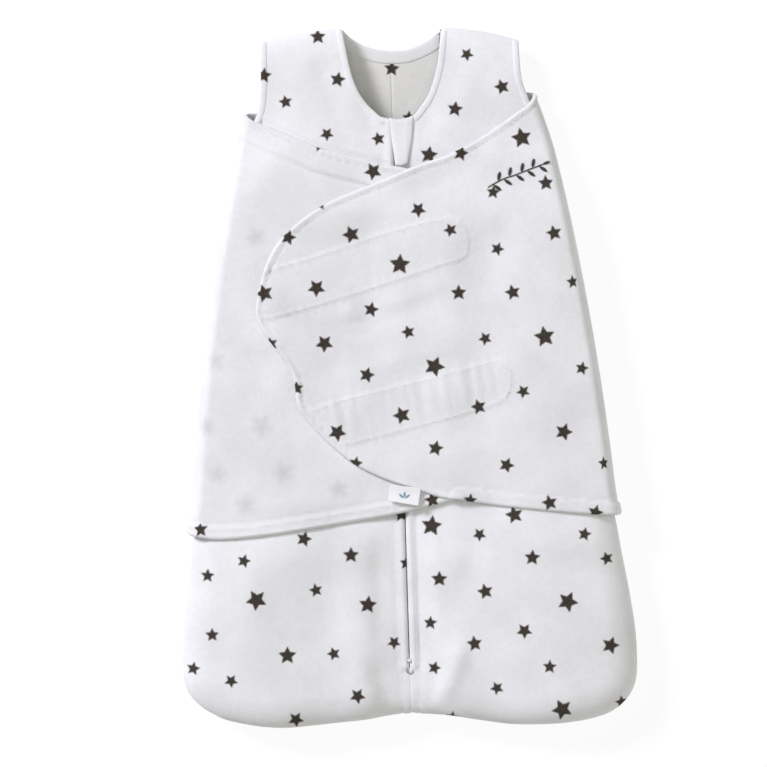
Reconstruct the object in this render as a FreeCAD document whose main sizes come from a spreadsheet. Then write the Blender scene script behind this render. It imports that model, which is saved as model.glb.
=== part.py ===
"""Baby sleeping bag with swaddle wings: a zipped fleece sack, lying on its back, wrapped and closed.

Millimetres. +Z points up out of the front, +Y towards the neck, +X to the right as seen from the front.
The origin is the middle of the resting face. Cloth layers are stacked flat, from the wrap's back panel
at z = 0 up to the over wing.
"""
import FreeCAD, Part
import math
import os
import re

from FreeCAD import Placement, Rotation, Vector

DIMENSIONS = [
    # sack
    ("fleece", 2.4),
    ("top_y", 280),
    ("lobe_y", -280),
    ("notch_y", -270),
    ("lobe_x", 95),
    ("widest_x", 182.4),
    ("widest_y", -236),
    ("corner_radius", 42),
    ("side_tilt", 7.3),
    ("sack_height", 33.6),
    ("side_round", 15),
    ("slit_half", 1.5),
    ("slit_bottom", -232),
    # neck and armholes
    ("neck_half", 38),
    ("neck_mid_half", 31),
    ("neck_mid_y", 234),
    ("neck_low_half", 14),
    ("neck_low_y", 211),
    ("neck_bottom_y", 205),
    ("back_neck_y", 269),
    ("neck_bind", 5.5),
    ("facing_width", 8),
    ("shoulder_x", 104),
    ("shoulder_y", 270),
    ("underarm_y", 226),
    ("arm_bind", 4.5),
    ("bind_depth", 3.2),
    # zip
    ("zip_top", 203),
    ("tape_low", 30.9),
    ("tape_thick", 0.6),
    ("tape_outer", 14),
    ("placket_inner", 8),
    ("teeth_inner", 0.7),
    ("teeth_outer", 3.2),
    ("tooth_depth", 1.7),
    ("teeth_low", 30.2),
    ("teeth_thick", 2),
    ("tooth_pitch", 3),
    ("stop_length", 2.4),
    ("guard_low", 27),
    ("guard_thick", 1.4),
    ("slider_length", 9),
    ("slider_width", 8.4),
    ("slider_plate", 0.8),
    ("pull_width", 5),
    ("pull_length", 11),
    ("pull_thick", 0.8),
    ("pin_radius", 0.42),
    ("pin_hole", 0.5),
    ("pin_height", 36.8),
    ("garage_top_width", 20),
    ("garage_low_width", 9),
    ("garage_top_y", 209),
    ("garage_low_y", 171),
    ("garage_thick", 1.4),
    # wrap and wings
    ("fold_x", 158),
    ("fold_y", -112),
    ("fold_reach", 12),
    ("over_fold_top", 216),
    ("under_fold_top", 206),
    ("over_hem", -112),
    ("under_hem", -119),
    ("under_level", 38),
    ("over_level", 42),
    ("strip_thick", 1.3),
    ("label_thick", 0.6),
    ("label_length", 26),
    ("label_width", 13),
    ("motif_thick", 0.5),
    ("motif_length", 46),
    ("motif_width", 14),
]

doc = FreeCAD.newDocument("SleepingBag")
sheet = doc.addObject("Spreadsheet::Sheet", "Sizes")
for row, (alias, value) in enumerate(DIMENSIONS, start=1):
    sheet.set(f"A{row}", alias)
    sheet.set(f"B{row}", str(value))
    sheet.setAlias(f"B{row}", alias)
doc.recompute()

pieces = []


def size(alias):
    """A driving dimension, read from the sheet."""
    return float(sheet.get(alias))


def formula(text):
    """Turn plain alias words into references to the sheet."""
    return re.sub(r"[a-z][a-z_]+", lambda word: "Sizes." + word.group(0), text)


def bind(thing, **expressions):
    """Bind properties to sheet formulas; x, y and z stand for the placement's coordinates."""
    for name, text in expressions.items():
        path = f"Placement.Base.{name}" if name in "xyz" else name
        thing.setExpression(path, formula(text))


def piece(thing, label):
    """Register a finished sub-part under its own name."""
    thing.Label = label
    pieces.append(thing)
    return thing


# ---- outlines -------------------------------------------------------------------------------------

def at(x, y):
    return Vector(x, y, 0)


def line(start, end):
    return Part.LineSegment(start, end)


def arc(start, middle, end):
    return Part.Arc(start, middle, end)


def curve(points):
    """A smooth curve through the points."""
    spline = Part.BSplineCurve()
    spline.interpolate(Points=points)
    return spline


def closed(points):
    """Straight lines round a polygon."""
    return [line(start, end) for start, end in zip(points, points[1:] + points[:1])]


def mirrored(points, side):
    return [at(side * point.x, point.y) for point in points]


def turned_box(centre, length, width, angle):
    """The four straight sides of a rectangle turned about its centre."""
    turn = Rotation(Vector(0, 0, 1), angle)
    corners = [(-1, -1), (1, -1), (1, 1), (-1, 1)]
    return closed([centre + turn.multVec(at(a * length / 2, b * width / 2)) for a, b in corners])


def side_x(y, inset=0.0):
    """Half width of the sack's straight side at height y."""
    tilt = math.radians(size("side_tilt"))
    return size("widest_x") - (y - size("widest_y")) * math.tan(tilt) - inset / math.cos(tilt)


def fold_line_x(y):
    """Distance from the middle to the line where the wrap folds over the front."""
    tilt = math.radians(size("side_tilt"))
    return size("fold_x") - (y - size("fold_y")) * math.tan(tilt)


def hem_points(inset):
    """The right half of the hem end, moved in by inset: where the side line meets the corner arc, the
    corner's middle, where the corner meets the lobe arc, the lobe's lowest point, where the lobe turns
    into the dip, and the dip's middle."""
    drop = size("notch_y") - size("lobe_y")
    lobe_radius = (size("lobe_x") ** 2 + drop ** 2) / (4 * drop)
    lobe_centre = at(size("lobe_x"), size("lobe_y") + lobe_radius)
    dip_centre = at(0, size("notch_y") - lobe_radius)
    tilt = math.radians(size("side_tilt"))
    outward = Vector(math.cos(tilt), math.sin(tilt), 0)
    upward = Vector(-math.sin(tilt), math.cos(tilt), 0)
    corner_radius = size("corner_radius")
    foot = at(size("widest_x"), size("widest_y")) - outward * corner_radius
    reach = foot - lobe_centre
    half_b = reach.dot(upward)
    rest = reach.Length ** 2 - (lobe_radius - corner_radius) ** 2
    centre = foot + upward * (-half_b - math.sqrt(half_b ** 2 - rest))
    towards_lobe = (centre - lobe_centre).normalize()
    towards_dip = (dip_centre - lobe_centre).normalize()
    corner = corner_radius - inset
    return [
        centre + outward * corner,
        centre + (outward + towards_lobe).normalize() * corner,
        centre + towards_lobe * corner,
        at(size("lobe_x"), size("lobe_y") + inset),
        lobe_centre + towards_dip * (lobe_radius - inset),
        at(0, size("notch_y") + inset),
    ]


def lower_edge(inset):
    """The hem end of the sack: two shallow lobes with a dip between, rounded into the sides."""
    right = hem_points(inset)
    left = mirrored(right, -1)
    return [
        arc(right[0], right[1], right[2]),
        arc(right[2], right[3], right[4]),
        arc(right[4], right[5], left[4]),
        arc(left[4], left[3], left[2]),
        arc(left[2], left[1], left[0]),
    ]


def armhole_edge(inset, side):
    """Shoulder tip, start of the bend, middle of the bend and underarm, moved in by inset."""
    low = size("underarm_y") - 1.1 * inset
    points = [
        at(size("shoulder_x") - inset, size("shoulder_y")),
        at(size("shoulder_x") - inset, low + 22),
        at(size("shoulder_x") + 5 - 0.8 * inset, low + 7),
        at(side_x(low), low),
    ]
    return mirrored(points, side)


def sack_outline():
    """The whole sack in plan, before its neck is cut."""
    right = armhole_edge(0, 1)
    left = armhole_edge(0, -1)
    low_right = hem_points(0)[0]
    low_left = at(-low_right.x, low_right.y)
    neck_right = at(size("neck_half"), size("top_y"))
    neck_left = at(-size("neck_half"), size("top_y"))
    return lower_edge(0) + [
        line(low_left, left[3]),
        arc(left[3], left[2], left[1]),
        line(left[1], left[0]),
        line(left[0], neck_left),
        line(neck_left, neck_right),
        line(neck_right, right[0]),
        line(right[0], right[1]),
        arc(right[1], right[2], right[3]),
        line(right[3], low_right),
    ]


def hollow_outline():
    """The space inside the sack: drawn in from the walls, and running out past both armholes."""
    fleece = size("fleece")
    below_arm = size("underarm_y") - fleece
    shoulder = at(size("shoulder_x") + 1, size("shoulder_y") - fleece)
    neck = at(size("neck_half"), size("top_y") - fleece)
    right = [hem_points(fleece)[0], at(side_x(below_arm, fleece), below_arm)]
    right += [shoulder, neck]
    left = mirrored(right, -1)[::-1]
    path = right + left
    return lower_edge(fleece) + [line(a, b) for a, b in zip(path, path[1:])]


def neck_outline(inset):
    """The deep front neckline, as the opening that it cuts."""
    right = [
        at(size("neck_half") + inset, size("top_y") + 1),
        at(size("neck_mid_half") + 0.85 * inset, size("neck_mid_y") - 0.5 * inset),
        at(size("neck_low_half") + 0.7 * inset, size("neck_low_y") - 0.7 * inset),
    ]
    left = mirrored(right, -1)
    bottom = at(0, size("neck_bottom_y") - inset)
    return [arc(left[0], left[1], left[2]), arc(left[2], bottom, right[2]),
            arc(right[2], right[1], right[0]), line(right[0], left[0])]


def back_neck_arc_y(x, inset):
    """Height of the shallow back neckline at x, lowered by inset."""
    half = size("neck_half") + inset
    drop = size("top_y") + 1 - size("back_neck_y") + inset
    radius = (half ** 2 + drop ** 2) / (2 * drop)
    return size("back_neck_y") - inset + radius - math.sqrt(radius ** 2 - x ** 2)


def back_neck_outline(inset):
    right = at(size("neck_half") + inset, size("top_y") + 1)
    left = at(-right.x, right.y)
    bottom = at(0, size("back_neck_y") - inset)
    return [arc(left, bottom, right), line(right, left)]


# ---- building blocks ------------------------------------------------------------------------------

def sketch_on(body, role, geometry):
    """A sketch on one of the body's own origin planes."""
    plane = [feature for feature in body.Origin.OriginFeatures if feature.Role == role][0]
    sketch = body.newObject("Sketcher::SketchObject", body.Name + "_outline")
    sketch.AttachmentSupport = [(plane, "")]
    sketch.MapMode = "FlatFace"
    sketch.addGeometry(geometry, False)
    return sketch


def plate(name, geometry, thickness, **position):
    """A padded outline lying flat; thickness and position are sheet formulas."""
    body = doc.addObject("PartDesign::Body", name)
    sketch = sketch_on(body, "XY_Plane", geometry)
    pad = body.newObject("PartDesign::Pad", name + "_pad")
    pad.Profile = sketch
    bind(pad, Length=thickness)
    bind(body, **position)
    doc.recompute()
    return body


def block(name, x, y, z, length, width, height):
    """A box between sheet formulas."""
    box = doc.addObject("Part::Box", name)
    bind(box, x=x, y=y, z=z, Length=length, Width=width, Height=height)
    return box


def joined(name, parts):
    """Several overlapping or touching solids made one."""
    fuse = doc.addObject("Part::MultiFuse", name)
    fuse.Shapes = parts
    fuse.Refine = True
    return fuse


def cut(name, base, tool):
    result = doc.addObject("Part::Cut", name)
    result.Base = base
    result.Tool = tool
    return result


def common(name, base, tool):
    result = doc.addObject("Part::Common", name)
    result.Base = base
    result.Tool = tool
    return result


def rounded_sack(name, geometry, height, low, radius):
    """A padded plan shape with its side, hem and shoulder edges rounded above and below."""
    body = plate(name, geometry, height, z=low)
    pad = body.Tip
    edges = []
    for number, edge in enumerate(pad.Shape.Edges, start=1):
        box = edge.BoundBox
        below_arm = box.YMax < size("underarm_y") + 0.1
        if box.ZLength < 0.01 and below_arm:
            edges.append(f"Edge{number}")
    fillet = body.newObject("PartDesign::Fillet", name + "_round")
    fillet.Base = (pad, edges)
    bind(fillet, Radius=radius)
    body.Tip = fillet
    doc.recompute()
    return body


# ---- the sack's four panels -----------------------------------------------------------------------

def sack_shell():
    """The sack as one fleece skin, with its neck and armhole edges cut back to take their bindings."""
    blank = rounded_sack("sack_blank", sack_outline(), "sack_height", "fleece", "side_round")
    hollow = rounded_sack("sack_hollow", hollow_outline(), "sack_height - 2 * fleece", "2 * fleece",
                          "side_round - fleece")
    skin = cut("sack_skin", blank, hollow)
    cutters = [
        plate("front_neck_cut", neck_outline(size("neck_bind")), "sack_height", z="sack_height / 2 + fleece"),
        plate("back_neck_cut", back_neck_outline(size("neck_bind")), "sack_height / 2 + fleece"),
    ]
    for side, word in ((-1, "left"), (1, "right")):
        cutters.append(plate(f"armhole_cut_{word}", armhole_strip(side, 2), "2 * sack_height"))
        cutters.append(neck_post(f"neck_post_cut_{word}", side))
    return cut("sack_skin_open", skin, joined("edge_cuts", cutters))


def armhole_strip(side, overhang):
    """The band along an armhole's edge that its binding takes up; overhang runs past the edge."""
    outer = armhole_edge(-overhang, side)
    inner = armhole_edge(size("arm_bind"), side)
    outer[0].y += overhang
    inner[0].y += overhang
    return [line(outer[0], outer[1]), arc(outer[1], outer[2], outer[3]), line(outer[3], inner[3]),
            arc(inner[3], inner[2], inner[1]), line(inner[1], inner[0]), line(inner[0], outer[0])]


def neck_post(name, side):
    """The upright at a neck point, where the binding turns from the front neckline to the back one."""
    left = "neck_half + 0.6" if side > 0 else "-neck_half - 4.4"
    return block(name, left, "top_y - 4.5", "fleece", "3.8", "5.5", "sack_height")


def sack_panels():
    """Split the skin at its side seams, its centre back seam and its front opening."""
    skin = sack_shell()
    half = "widest_x + 20"
    length = "top_y - lobe_y + 40"
    low = "lobe_y - 20"
    seam = "sack_height / 2 + fleece"
    for side, word in ((-1, "left"), (1, "right")):
        start = "0" if side > 0 else "-widest_x - 20"
        back_half = block(f"back_half_{word}", start, low, "0", half, length, seam)
        piece(common(f"back_{word}", skin, back_half), f"back_panel_{word}")
        front_half = block(f"front_half_{word}", start, low, seam, half, length, seam)
        front = common(f"front_{word}", skin, front_half)
        slit = block(f"slit_{word}", "-slit_half", "slit_bottom", seam, "2 * slit_half", length, seam)
        opened = cut(f"front_opened_{word}", front, slit)
        placket_x = "placket_inner" if side > 0 else "-tape_outer"
        placket = block(f"placket_{word}", placket_x, "slit_bottom + 4", "tape_low + tape_thick",
                        "tape_outer - placket_inner", "neck_bottom_y - slit_bottom - 14",
                        "sack_height - tape_low - tape_thick + 0.1")
        piece(joined(f"front_joined_{word}", [opened, placket]), f"front_panel_{word}")


# ---- bindings, facing and garage ------------------------------------------------------------------

def ring(name, outer, inner, thickness, low):
    """What is left between two outlines."""
    return cut(name, plate(name + "_outer", outer, thickness, z=low),
               plate(name + "_inner", inner, thickness, z=low))


def neck_binding():
    """One strip of ribbing round the whole neckline, split in front where the zip ends."""
    front = ring("neck_front", neck_outline(size("neck_bind")), neck_outline(0), "bind_depth",
                 "sack_height + fleece - bind_depth")
    back = ring("neck_back", back_neck_outline(size("neck_bind")), back_neck_outline(0), "bind_depth",
                "fleece")
    posts = [neck_post("neck_post_left", -1), neck_post("neck_post_right", 1)]
    whole = joined("neck_whole", [front, back] + posts)
    split = block("neck_split", "-slit_half", "neck_bottom_y - neck_bind - 2", "sack_height / 2",
                  "2 * slit_half", "neck_bind + 10", "sack_height")
    trim = block("neck_trim", "-neck_half - 10", "top_y", "0", "2 * neck_half + 20", "10",
                 "2 * sack_height")
    piece(cut("neck_cut", whole, joined("neck_trims", [split, trim])), "neck_binding")


def armhole_binding(side, word):
    """A ribbing loop: along the front edge, down at the shoulder and underarm, and along the back."""
    strip = plate(f"arm_strip_{word}", armhole_strip(side, 0), "sack_height", z="fleece")
    middle = armhole_edge(-3, side)
    inner = armhole_edge(size("arm_bind") + 3, side)
    top = size("shoulder_y") - 3.5
    low = size("underarm_y") + 2.5
    for points in (middle, inner):
        points[0].y = top
    gap_outline = [line(middle[0], middle[1]), line(middle[1], at(middle[3].x, low)),
                   line(at(middle[3].x, low), at(inner[1].x, low)), line(at(inner[1].x, low), inner[0]),
                   line(inner[0], middle[0])]
    gap = plate(f"arm_gap_{word}", gap_outline, "sack_height - 2 * bind_depth", z="fleece + bind_depth")
    piece(cut(f"arm_loop_{word}", strip, gap), f"armhole_binding_{word}")


def back_neck_facing():
    """A narrow facing sewn inside the back neckline."""
    reach = size("neck_half") - 6
    upper = size("neck_bind") + 0.2
    lower = upper + size("facing_width")
    ends = [at(-reach, back_neck_arc_y(reach, upper)), at(reach, back_neck_arc_y(reach, upper)),
            at(reach, back_neck_arc_y(reach, lower)), at(-reach, back_neck_arc_y(reach, lower))]
    geometry = [arc(ends[0], at(0, back_neck_arc_y(0, upper)), ends[1]), line(ends[1], ends[2]),
                arc(ends[2], at(0, back_neck_arc_y(0, lower)), ends[3]), line(ends[3], ends[0])]
    piece(plate("neck_facing", geometry, "fleece / 2", z="2 * fleece"), "back_neck_facing")


def zipper_garage():
    """The tapered tab that covers the top end of the zip, against the chin."""
    top = size("garage_top_y")
    low = size("garage_low_y")
    wide = size("garage_top_width") / 2
    narrow = size("garage_low_width") / 2
    geometry = [line(at(-wide, top), at(wide, top)), line(at(wide, top), at(narrow, low + 2)),
                arc(at(narrow, low + 2), at(0, low), at(-narrow, low + 2)),
                line(at(-narrow, low + 2), at(-wide, top))]
    piece(plate("garage", geometry, "garage_thick", z="sack_height + fleece"), "zipper_garage")


# ---- the zip --------------------------------------------------------------------------------------

def zipper_tapes():
    for side, word in ((-1, "left"), (1, "right")):
        start = "teeth_outer" if side > 0 else "-tape_outer"
        tape = block(f"tape_{word}", start, "slit_bottom", "tape_low", "tape_outer - teeth_outer",
                     "zip_top - slit_bottom", "tape_thick")
        piece(tape, f"zipper_tape_{word}")


def zipper_teeth(side, word):
    """A comb of teeth on a spine along the tape's edge; the two combs stand clear of each other."""
    pitch = size("tooth_pitch")
    low = size("slit_bottom") + size("stop_length") + 1
    count = int((size("zip_top") - size("stop_length") - 1 - low) / pitch)
    tip = size("teeth_inner")
    root = tip + size("tooth_depth")
    spine = size("teeth_outer")
    offset = 0 if side > 0 else pitch / 2
    start = low + offset
    outline = [at(spine, start)]
    for number in range(count - 1):
        y = start + number * pitch
        outline += [at(tip, y), at(tip, y + 0.6 * pitch), at(root, y + 0.6 * pitch), at(root, y + pitch)]
    outline.append(at(spine, start + (count - 1) * pitch))
    outline = mirrored(outline, side)
    face = Part.Face(Part.makePolygon(outline + outline[:1]))
    comb = doc.addObject("Part::Feature", f"teeth_{word}")
    comb.Shape = face.extrude(Vector(0, 0, size("teeth_thick")))
    comb.Placement = Placement(Vector(0, 0, size("teeth_low")), Rotation())
    piece(comb, f"zipper_teeth_{word}")


def zipper_stops():
    """The clamp that joins both rows at the bottom, and one small clamp at the top of each row."""
    bottom = block("bottom_stop", "-teeth_outer", "slit_bottom", "teeth_low", "2 * teeth_outer",
                   "stop_length", "teeth_thick")
    piece(bottom, "zipper_bottom_stop")
    tops = []
    for side, word in ((-1, "left"), (1, "right")):
        start = "teeth_inner" if side > 0 else "-teeth_outer"
        tops.append(block(f"top_stop_{word}", start, "zip_top - stop_length", "teeth_low",
                          "teeth_outer - teeth_inner", "stop_length", "teeth_thick"))
    pair = doc.addObject("Part::Compound", "top_stop_pair")
    pair.Links = tops
    piece(pair, "zipper_top_stops")


def zipper_guard():
    """The strip behind the zip that keeps it off the baby, with its seam turned up to the right tape."""
    strip = block("guard_strip", "-tape_outer + 3", "slit_bottom - 4", "guard_low",
                  "2 * tape_outer", "zip_top - slit_bottom", "guard_thick")
    seam = block("guard_seam", "tape_outer - 3", "slit_bottom", "guard_low + guard_thick - 0.1", "3",
                 "zip_top - slit_bottom - 8", "tape_low - guard_low - guard_thick + 0.1")
    piece(joined("guard", [strip, seam]), "zipper_guard")


def zipper_slider():
    """Two plates joined by a dividing post, with a bridge that stands up through the front opening."""
    start = "slit_bottom + stop_length + 0.6"
    left = "-slider_width / 2"
    lower = block("slider_lower", left, start, "guard_low + guard_thick + 0.4", "slider_width",
                  "slider_length", "slider_plate")
    upper = block("slider_upper", left, start, "teeth_low + teeth_thick + 0.4", "slider_width",
                  "slider_length", "slider_plate - 0.2")
    post = block("slider_post", "-0.4", start, "guard_low + guard_thick + 0.6", "0.8", "2.6",
                 "teeth_low + teeth_thick - guard_low - guard_thick")
    bridge = block("slider_bridge", "-0.9", start + " + slider_length / 2 - 1.3",
                   "teeth_low + teeth_thick + 0.6", "1.8", "2.6",
                   "pin_height + 0.9 - teeth_low - teeth_thick - 0.6")
    whole = joined("slider_whole", [lower, upper, post, bridge])
    hole = doc.addObject("Part::Cylinder", "pin_hole_cut")
    bind(hole, x="-2", y=start + " + slider_length / 2", z="pin_height", Radius="pin_hole", Height="4")
    hole.Placement.Rotation = Rotation(Vector(0, 1, 0), 90)
    piece(cut("slider", whole, hole), "zipper_slider")


def slider_pull():
    """A flat tab forked round the bridge, with the pin that it swings on."""
    pin_y = "slit_bottom + stop_length + 0.6 + slider_length / 2"
    pin = doc.addObject("Part::Cylinder", "pull_pin")
    bind(pin, x="-pull_width / 2", y=pin_y, z="pin_height", Radius="pin_radius", Height="pull_width")
    pin.Placement.Rotation = Rotation(Vector(0, 1, 0), 90)
    parts = [pin]
    for side, word in ((-1, "left"), (1, "right")):
        inner = "1.1" if side > 0 else "-pull_width / 2"
        parts.append(block(f"pull_arm_{word}", inner, pin_y + " - 3.2", "pin_height - pull_thick / 2",
                           "pull_width / 2 - 1.1", "3.2", "pull_thick"))
        knuckle = doc.addObject("Part::Cylinder", f"pull_knuckle_{word}")
        bind(knuckle, x=inner, y=pin_y, z="pin_height", Radius="pull_thick / 2 + 0.15",
             Height="pull_width / 2 - 1.1")
        knuckle.Placement.Rotation = Rotation(Vector(0, 1, 0), 90)
        parts.append(knuckle)
    parts.append(block("pull_tab", "-pull_width / 2", pin_y + " - pull_length",
                       "pin_height - pull_thick / 2", "pull_width", "pull_length - 3", "pull_thick"))
    piece(joined("pull", parts), "slider_pull")


# ---- the swaddle wrap -----------------------------------------------------------------------------

def wrap_back_panel():
    """The wrap's flat middle, behind the sack, between the two fold lines."""
    points = [
        at(-fold_line_x(size("under_hem")), size("under_hem")),
        at(fold_line_x(size("over_hem")), size("over_hem")),
        at(fold_line_x(size("over_fold_top")), size("over_fold_top")),
        at(-fold_line_x(size("under_fold_top")), size("under_fold_top")),
    ]
    piece(plate("wrap_back", closed(points), "fleece"), "wrap_back_panel")


def wrap_fold(side, word, top, hem, level):
    """The wrap's turn round one side of the sack: half of an upright ellipse, run along the fold line."""
    middle = (size(level) + size("fleece")) / 2
    body = doc.addObject("PartDesign::Body", f"fold_{word}")
    centre = at(0, middle)
    arcs = []
    for inset in (0, size("fleece")):
        height = middle - inset
        reach = size("fold_reach") - inset
        ellipse = Part.Ellipse(at(0, middle + height), at(-reach, middle), centre)
        first = math.pi if side > 0 else 0
        arcs.append(Part.ArcOfEllipse(ellipse, first, first + math.pi))
    ends = [line(at(0, 0), at(0, size("fleece"))),
            line(at(0, 2 * middle), at(0, 2 * middle - size("fleece")))]
    sketch = sketch_on(body, "XZ_Plane", arcs + ends)
    pad = body.newObject("PartDesign::Pad", f"fold_{word}_pad")
    pad.Profile = sketch
    bind(pad, Length=f"({top} - {hem}) / 0.9919")
    turn = Rotation(Vector(0, 0, 1), side * size("side_tilt"))
    start = at(side * fold_line_x(size(top)), size(top))
    body.Placement = Placement(start, turn)
    piece(body, f"wrap_fold_{word}")


def under_wing():
    """The wing folded over first, from the left, with its reverse side up."""
    top = size("under_fold_top")
    hem = size("under_hem")
    corner_top = at(-fold_line_x(top), top)
    corner_low = at(-fold_line_x(hem), hem)
    tip = [at(20, 163), at(30, 154), at(31, 142)]
    upper = curve([corner_top, at(-80, 197), at(-30, 177), tip[0]])
    lower = curve([at(42, -97), at(-30, -111), at(-107, -121.5), corner_low])
    geometry = [upper, arc(*tip), line(tip[2], at(42, -97)), lower, line(corner_low, corner_top)]
    piece(plate("wing_under", geometry, "fleece", z="under_level"), "under_wing")


def over_wing():
    """The wing folded over last, from the right, with two stepped flaps at its free end."""
    top = size("over_fold_top")
    hem = size("over_hem")
    corner_top = at(fold_line_x(top), top)
    corner_low = at(fold_line_x(hem), hem)
    tip = [at(-106, 90), at(-114, 62), at(-108, 40)]
    upper = curve([corner_top, at(58, 184), at(-13, 158), at(-71, 132), tip[0]])
    free = curve([tip[2], at(-87, 10), at(-82, -20), at(-57, -51), at(-16, -79), at(45, -98)])
    geometry = [upper, arc(*tip), free, curve([at(45, -98), at(100, -106), corner_low]),
                line(corner_low, corner_top)]
    piece(plate("wing_over", geometry, "fleece", z="over_level"), "over_wing")


def hook_strips():
    """Two hook strips under the over wing's flaps, rounded at their sewn ends."""
    outlines = {
        "upper": [at(-102, 86), at(46, 123), at(54, 109), at(48, 94), at(-106, 52)],
        "lower": [at(-70, -25), at(78, 11), at(86, -5), at(78, -19), at(-48, -51)],
    }
    for word, (start, top_end, bulge, low_end, last) in outlines.items():
        geometry = [line(start, top_end), arc(top_end, bulge, low_end), line(low_end, last),
                    line(last, start)]
        strip = plate(f"strip_{word}", geometry, "strip_thick", z="over_level - strip_thick")
        piece(strip, f"hook_strip_{word}")


def wing_trims():
    """The folded satin label over the hem and the embroidered sprig near the shoulder."""
    label = turned_box(at(0, -93), size("label_length"), size("label_width"), -8)
    piece(plate("label", label, "label_thick", z="over_level + fleece"), "side_label")
    motif = turned_box(at(95, 159), size("motif_length"), size("motif_width"), 21)
    piece(plate("motif", motif, "motif_thick", z="over_level + fleece"), "embroidered_sprig")


# ---- build, check and write -----------------------------------------------------------------------

def build():
    sack_panels()
    neck_binding()
    for side, word in ((-1, "left"), (1, "right")):
        armhole_binding(side, word)
        zipper_teeth(side, word)
    back_neck_facing()
    zipper_garage()
    zipper_tapes()
    zipper_stops()
    zipper_guard()
    zipper_slider()
    slider_pull()
    wrap_back_panel()
    wrap_fold(-1, "left", "under_fold_top", "under_hem", "under_level")
    wrap_fold(1, "right", "over_fold_top", "over_hem", "over_level")
    under_wing()
    over_wing()
    hook_strips()
    wing_trims()
    doc.recompute()


def check():
    """Stop on any failed object or unsound shape, before anything is written."""
    for thing in doc.Objects:
        if "Invalid" in thing.State or "Error" in thing.State:
            raise RuntimeError(f"{thing.Name} did not recompute: {thing.State}")
    for thing in pieces:
        if thing.Shape.isNull() or not thing.Shape.isValid():
            raise RuntimeError(f"{thing.Label} has no sound shape")


def write():
    os.makedirs("parts", exist_ok=True)
    for thing in pieces:
        thing.Shape.exportStep(f"parts/{thing.Label}.step")
        box = thing.Shape.BoundBox
        print(f"{thing.Label:24s} solids {len(thing.Shape.Solids)} volume {thing.Shape.Volume:10.1f}"
              f"  x {box.XMin:7.1f} {box.XMax:7.1f}  y {box.YMin:7.1f} {box.YMax:7.1f}"
              f"  z {box.ZMin:5.1f} {box.ZMax:5.1f}")


build()
check()
write()
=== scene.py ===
"""Looks of the baby sleeping bag: fleece sack, bindings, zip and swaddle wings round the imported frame."""
import math

import bpy
import numpy as np
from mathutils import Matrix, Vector, noise
from mathutils.bvhtree import BVHTree
from mathutils.geometry import delaunay_2d_cdt


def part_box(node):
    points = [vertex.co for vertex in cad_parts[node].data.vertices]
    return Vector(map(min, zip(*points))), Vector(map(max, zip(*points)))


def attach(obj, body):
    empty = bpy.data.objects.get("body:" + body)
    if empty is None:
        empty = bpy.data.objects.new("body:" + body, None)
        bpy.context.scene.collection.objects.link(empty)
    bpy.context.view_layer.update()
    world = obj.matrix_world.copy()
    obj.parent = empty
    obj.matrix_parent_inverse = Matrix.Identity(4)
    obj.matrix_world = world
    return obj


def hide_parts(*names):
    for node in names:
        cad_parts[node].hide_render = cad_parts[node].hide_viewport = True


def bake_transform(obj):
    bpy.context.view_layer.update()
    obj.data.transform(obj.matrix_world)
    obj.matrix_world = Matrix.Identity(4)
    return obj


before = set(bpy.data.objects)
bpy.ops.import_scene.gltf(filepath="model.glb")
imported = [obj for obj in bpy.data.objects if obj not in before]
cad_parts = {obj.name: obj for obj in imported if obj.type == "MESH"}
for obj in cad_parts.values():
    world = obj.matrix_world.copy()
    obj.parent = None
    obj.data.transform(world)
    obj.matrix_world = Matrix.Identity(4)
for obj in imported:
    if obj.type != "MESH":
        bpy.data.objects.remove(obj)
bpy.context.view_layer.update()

# Shapes are worked out in millimetres in the row frame and written to meshes in metres.
MM = 0.001
SIDES = ((-1, "left"), (1, "right"))


def box_mm(node):
    low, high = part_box(node)
    return np.array(low) / MM, np.array(high) / MM


# ---- sizes that come from the frame ---------------------------------------------------------------

CLOTH = box_mm("wrap_back_panel")[1][2] - box_mm("wrap_back_panel")[0][2]
SACK_TOP = box_mm("front_panel_left")[1][2]
SACK_LOW = box_mm("back_panel_left")[0][2]
HEM_Y = box_mm("front_panel_left")[0][1]
SLIT_LOW_Y = box_mm("zipper_tape_left")[0][1]
FRONT_LEVEL = SACK_TOP - CLOTH / 2
BACK_LEVEL = SACK_LOW + CLOTH / 2
WRAP_LEVEL = CLOTH / 2
PULL_LOW, PULL_HIGH = box_mm("slider_pull")

# How far a wing's fold stands out past the flat cloth, and how much cloth goes round it.
FOLD_REACH = 9.0
FOLD_LENGTH = 51.0
# Half the gap at the zip, and how far in from a seam the sack reaches its full depth.
SLIT_HALF = 0.35
SEAM_ROUND = 24.0


# ---- curves and outlines --------------------------------------------------------------------------

def resample(points, step):
    """The same polyline with points an even step apart, ends kept."""
    points = np.asarray(points, float)
    along = np.concatenate([[0], np.cumsum(np.linalg.norm(np.diff(points, axis=0), axis=1))])
    count = max(2, int(round(along[-1] / step)) + 1)
    at = np.linspace(0, along[-1], count)
    return np.stack([np.interp(at, along, points[:, k]) for k in range(points.shape[1])], axis=1)


def smooth(points, step=2.0):
    """A Catmull-Rom curve through given points, with points an even step apart."""
    points = np.asarray(points, float)
    if len(points) < 3:
        return resample(points, step)
    ends = np.vstack([2 * points[0] - points[1], points, 2 * points[-1] - points[-2]])
    t = np.linspace(0, 1, 24, endpoint=False)[:, None]
    runs = []
    for a, b, c, d in zip(ends, ends[1:], ends[2:], ends[3:]):
        runs.append(0.5 * (2 * b + (c - a) * t + (2 * a - 5 * b + 4 * c - d) * t ** 2
                           + (3 * b - a - 3 * c + d) * t ** 3))
    return resample(np.vstack(runs + [points[-1:]]), step)


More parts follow.
